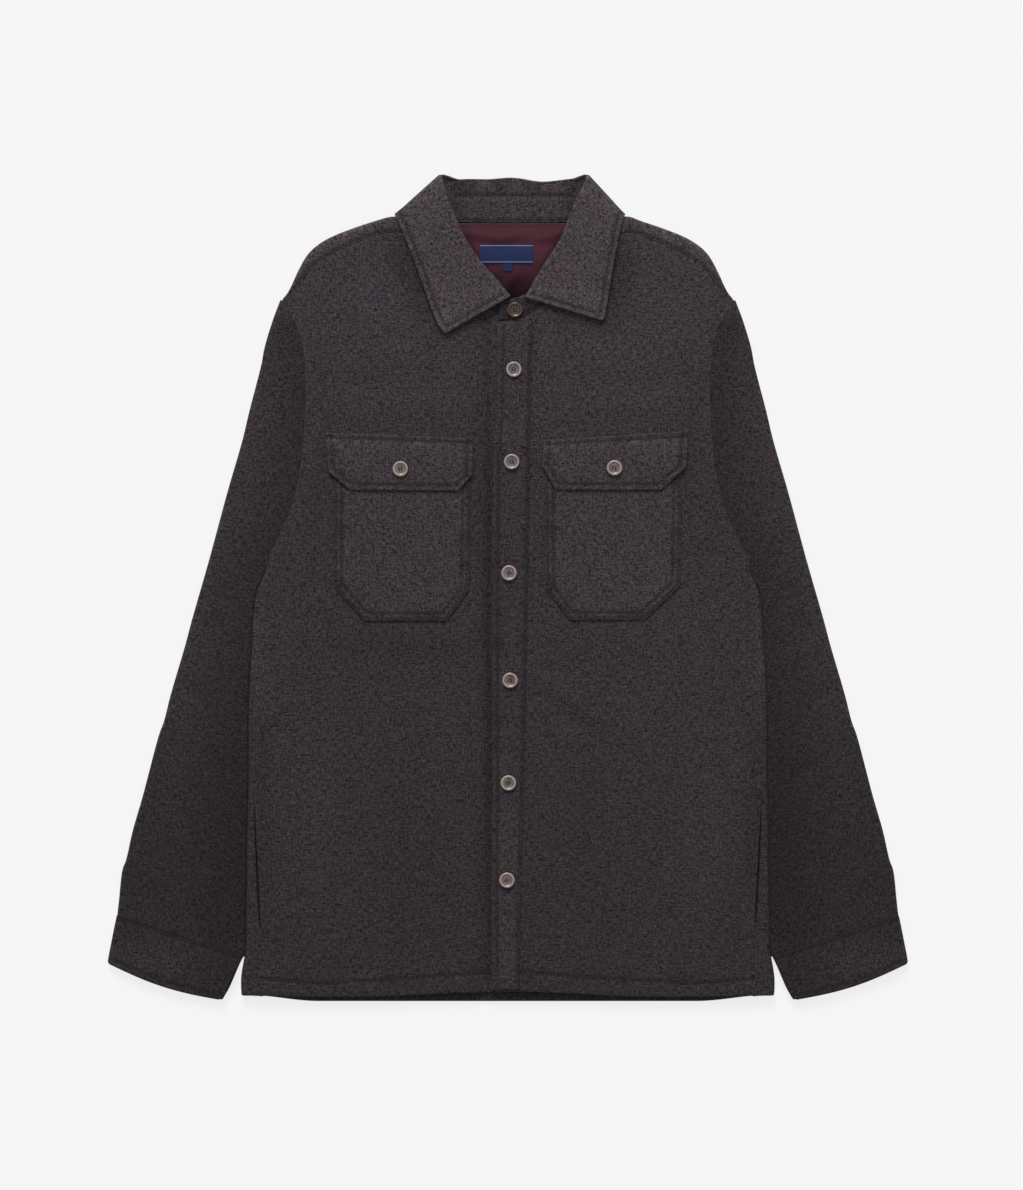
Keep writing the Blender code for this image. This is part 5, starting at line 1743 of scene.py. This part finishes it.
class JACKET_OT_buttons(bpy.types.Operator):
    """Make the horn buttons, sewn on through their four holes"""
    bl_idname = "jacket.buttons"
    bl_label = "Buttons"

    def execute(self, context):
        finish = horn(context.scene.jacket_colours)
        blank = self.turned(finish)
        places = {"button_1": BAND_BUTTON}
        places.update({f"button_{number}": place for number, place in enumerate(FRONT_BUTTONS, start=2)})
        places.update({f"{flap}_button": place for flap, place in FLAP_BUTTONS.items()})
        knots = bmesh.new()
        for number, (node, place) in enumerate(places.items()):
            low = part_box(node)[0][2]
            turn = math.radians(BUTTON_TURNS[number])
            mesh = blank.copy()
            mesh.name = f"horn_{node}"
            way = Matrix.Translation((place[0] * MM, place[1] * MM, low)) @ Matrix.Rotation(turn, 4, "Z")
            mesh.transform(way)
            # painted shade on the band's button under the collar; the other buttons keep their colour
            shade = BAND_BUTTON_PAINTED_SHADE if node == "button_1" else (1.0, 1.0, 1.0)
            tone = mesh.attributes.new("tone", "FLOAT_VECTOR", "POINT")
            tone.data.foreach_set("vector", shade * len(mesh.vertices))
            piece = add_piece(f"horn_{node}", mesh)
            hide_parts(node)
            self.knot(knots, way)
        mesh = mesh_from("button_threads", knots)
        mesh.materials.append(sewing_thread(context))
        add_piece("button_threads", mesh)
        return {"FINISHED"}

    def turned(self, finish):
        """A turned button with a rounded raised rim, a dish and four holes."""
        shape = bmesh.new()
        ring = [shape.verts.new((share * BUTTON_RADIUS * MM, 0, level * BUTTON_HEIGHT * MM))
                for share, level in BUTTON_PROFILE]
        edges = [shape.edges.new(pair) for pair in zip(ring, ring[1:])]
        bmesh.ops.spin(shape, geom=ring + edges, cent=(0, 0, 0), axis=(0, 0, 1), angle=math.tau, steps=44)
        bmesh.ops.remove_doubles(shape, verts=shape.verts, dist=0.000005)
        bmesh.ops.recalc_face_normals(shape, faces=shape.faces)
        blank = linked("button_blank", mesh_from("button_blank", shape))
        drill_shape = bmesh.new()
        for corner in range(4):
            angle = math.radians(45 + 90 * corner)
            hole = Matrix.Translation((BUTTON_HOLE_SPACING * math.cos(angle) * MM,
                                       BUTTON_HOLE_SPACING * math.sin(angle) * MM, 0))
            radius = BUTTON_HOLE_RADIUS * MM
            bmesh.ops.create_cone(drill_shape, cap_ends=True, segments=14, radius1=radius, radius2=radius,
                                  depth=4 * BUTTON_HEIGHT * MM, matrix=hole)
        drill = linked("button_drill", mesh_from("button_drill", drill_shape))
        cut = blank.modifiers.new("holes", "BOOLEAN")
        cut.operation = "DIFFERENCE"
        cut.object = drill
        button = evaluated_mesh(blank)
        bpy.data.objects.remove(drill)
        plan = button.uv_layers.new(name="grain")
        for loop in button.loops:
            plan.data[loop.index].uv = button.vertices[loop.vertex_index].co[:2]
        button.materials.clear()
        button.materials.append(finish)
        button.set_sharp_from_angle(angle=math.radians(50))
        return button

    def knot(self, shape, way):
        """Two bars of thread between the holes of one button."""
        reach = BUTTON_HOLE_SPACING * math.sqrt(0.5) * MM
        for side in (-1, 1):
            for strand in (-0.22, 0.22):
                middle = Matrix.Translation((side * reach + strand * MM, 0, BUTTON_DISH * BUTTON_HEIGHT * MM))
                size = Matrix.Diagonal((0.26 * MM, reach + 0.5 * MM, 0.42 * MM, 1))
                bmesh.ops.create_uvsphere(shape, u_segments=8, v_segments=6, radius=1.0,
                                          matrix=way @ middle @ size)


class JACKET_OT_stage(bpy.types.Operator):
    """Make the pale ground, the soft lights and the camera"""
    bl_idname = "jacket.stage"
    bl_label = "Stage"

    def execute(self, context):
        stage = context.scene.jacket_stage
        shape = bmesh.new()
        bmesh.ops.create_grid(shape, x_segments=2, y_segments=2, size=GROUND_SIZE / 2)
        bmesh.ops.translate(shape, verts=shape.verts, vec=(0, 0, -0.0003))
        mesh = mesh_from("ground", shape)
        mesh.materials.append(floor_finish(stage))
        linked("ground", mesh)

        world = bpy.data.worlds.new("soft_room")
        world.use_nodes = True
        sky = world.node_tree.nodes["Background"]
        sky.inputs["Color"].default_value = (1.0, 1.0, 1.0, 1)
        sky.inputs["Strength"].default_value = stage.room
        context.scene.world = world
        context.scene.view_settings.view_transform = "Standard"
        key = bpy.data.lights.new("key_light", "SUN")
        key.energy = stage.key
        key.angle = math.radians(KEY_SPREAD)
        fill = bpy.data.lights.new("fill_light", "AREA")
        fill.size = 1.6
        fill.energy = stage.fill
        for light, place in ((key, KEY_PLACE), (fill, FILL_PLACE)):
            lamp = linked(light.name, light)
            lamp.location = place
            lamp.rotation_euler = (-Vector(place)).to_track_quat("-Z", "Y").to_euler()

        camera = bpy.data.cameras.new("camera")
        camera.sensor_width = SENSOR
        camera.lens = SENSOR * stage.camera_height / VIEW_HEIGHT
        camera.clip_end = 50
        eye = linked("camera", camera)
        eye.location = (VIEW_CENTRE[0], VIEW_CENTRE[1], stage.camera_height + GARMENT_LEVEL)
        context.scene.camera = eye
        return {"FINISHED"}


OPERATORS = [JACKET_OT_stage, JACKET_OT_back, JACKET_OT_yoke, JACKET_OT_fronts, JACKET_OT_sleeves,
             JACKET_OT_chest_pockets, JACKET_OT_placket, JACKET_OT_collar, JACKET_OT_neck, JACKET_OT_buttons]


class JACKET_PT_pieces(bpy.types.Panel):
    """Lists the steps that make the jacket"""
    bl_idname = "JACKET_PT_pieces"
    bl_label = "Shirt jacket"
    bl_space_type = "VIEW_3D"
    bl_region_type = "UI"
    bl_category = "Shirt jacket"

    def draw(self, context):
        for operator in OPERATORS:
            self.layout.operator(operator.bl_idname)


CLASSES = [*SETTINGS.values(), *OPERATORS, JACKET_PT_pieces]


def register():
    for kind in CLASSES:
        bpy.utils.register_class(kind)
    for name, kind in SETTINGS.items():
        setattr(bpy.types.Scene, name, bpy.props.PointerProperty(type=kind))


def unregister():
    for name in SETTINGS:
        delattr(bpy.types.Scene, name)
    for kind in reversed(CLASSES):
        bpy.utils.unregister_class(kind)


def main():
    register()
    for operator in OPERATORS:
        group, name = operator.bl_idname.split(".")
        getattr(getattr(bpy.ops, group), name)()


if __name__ == "__main__":
    main()
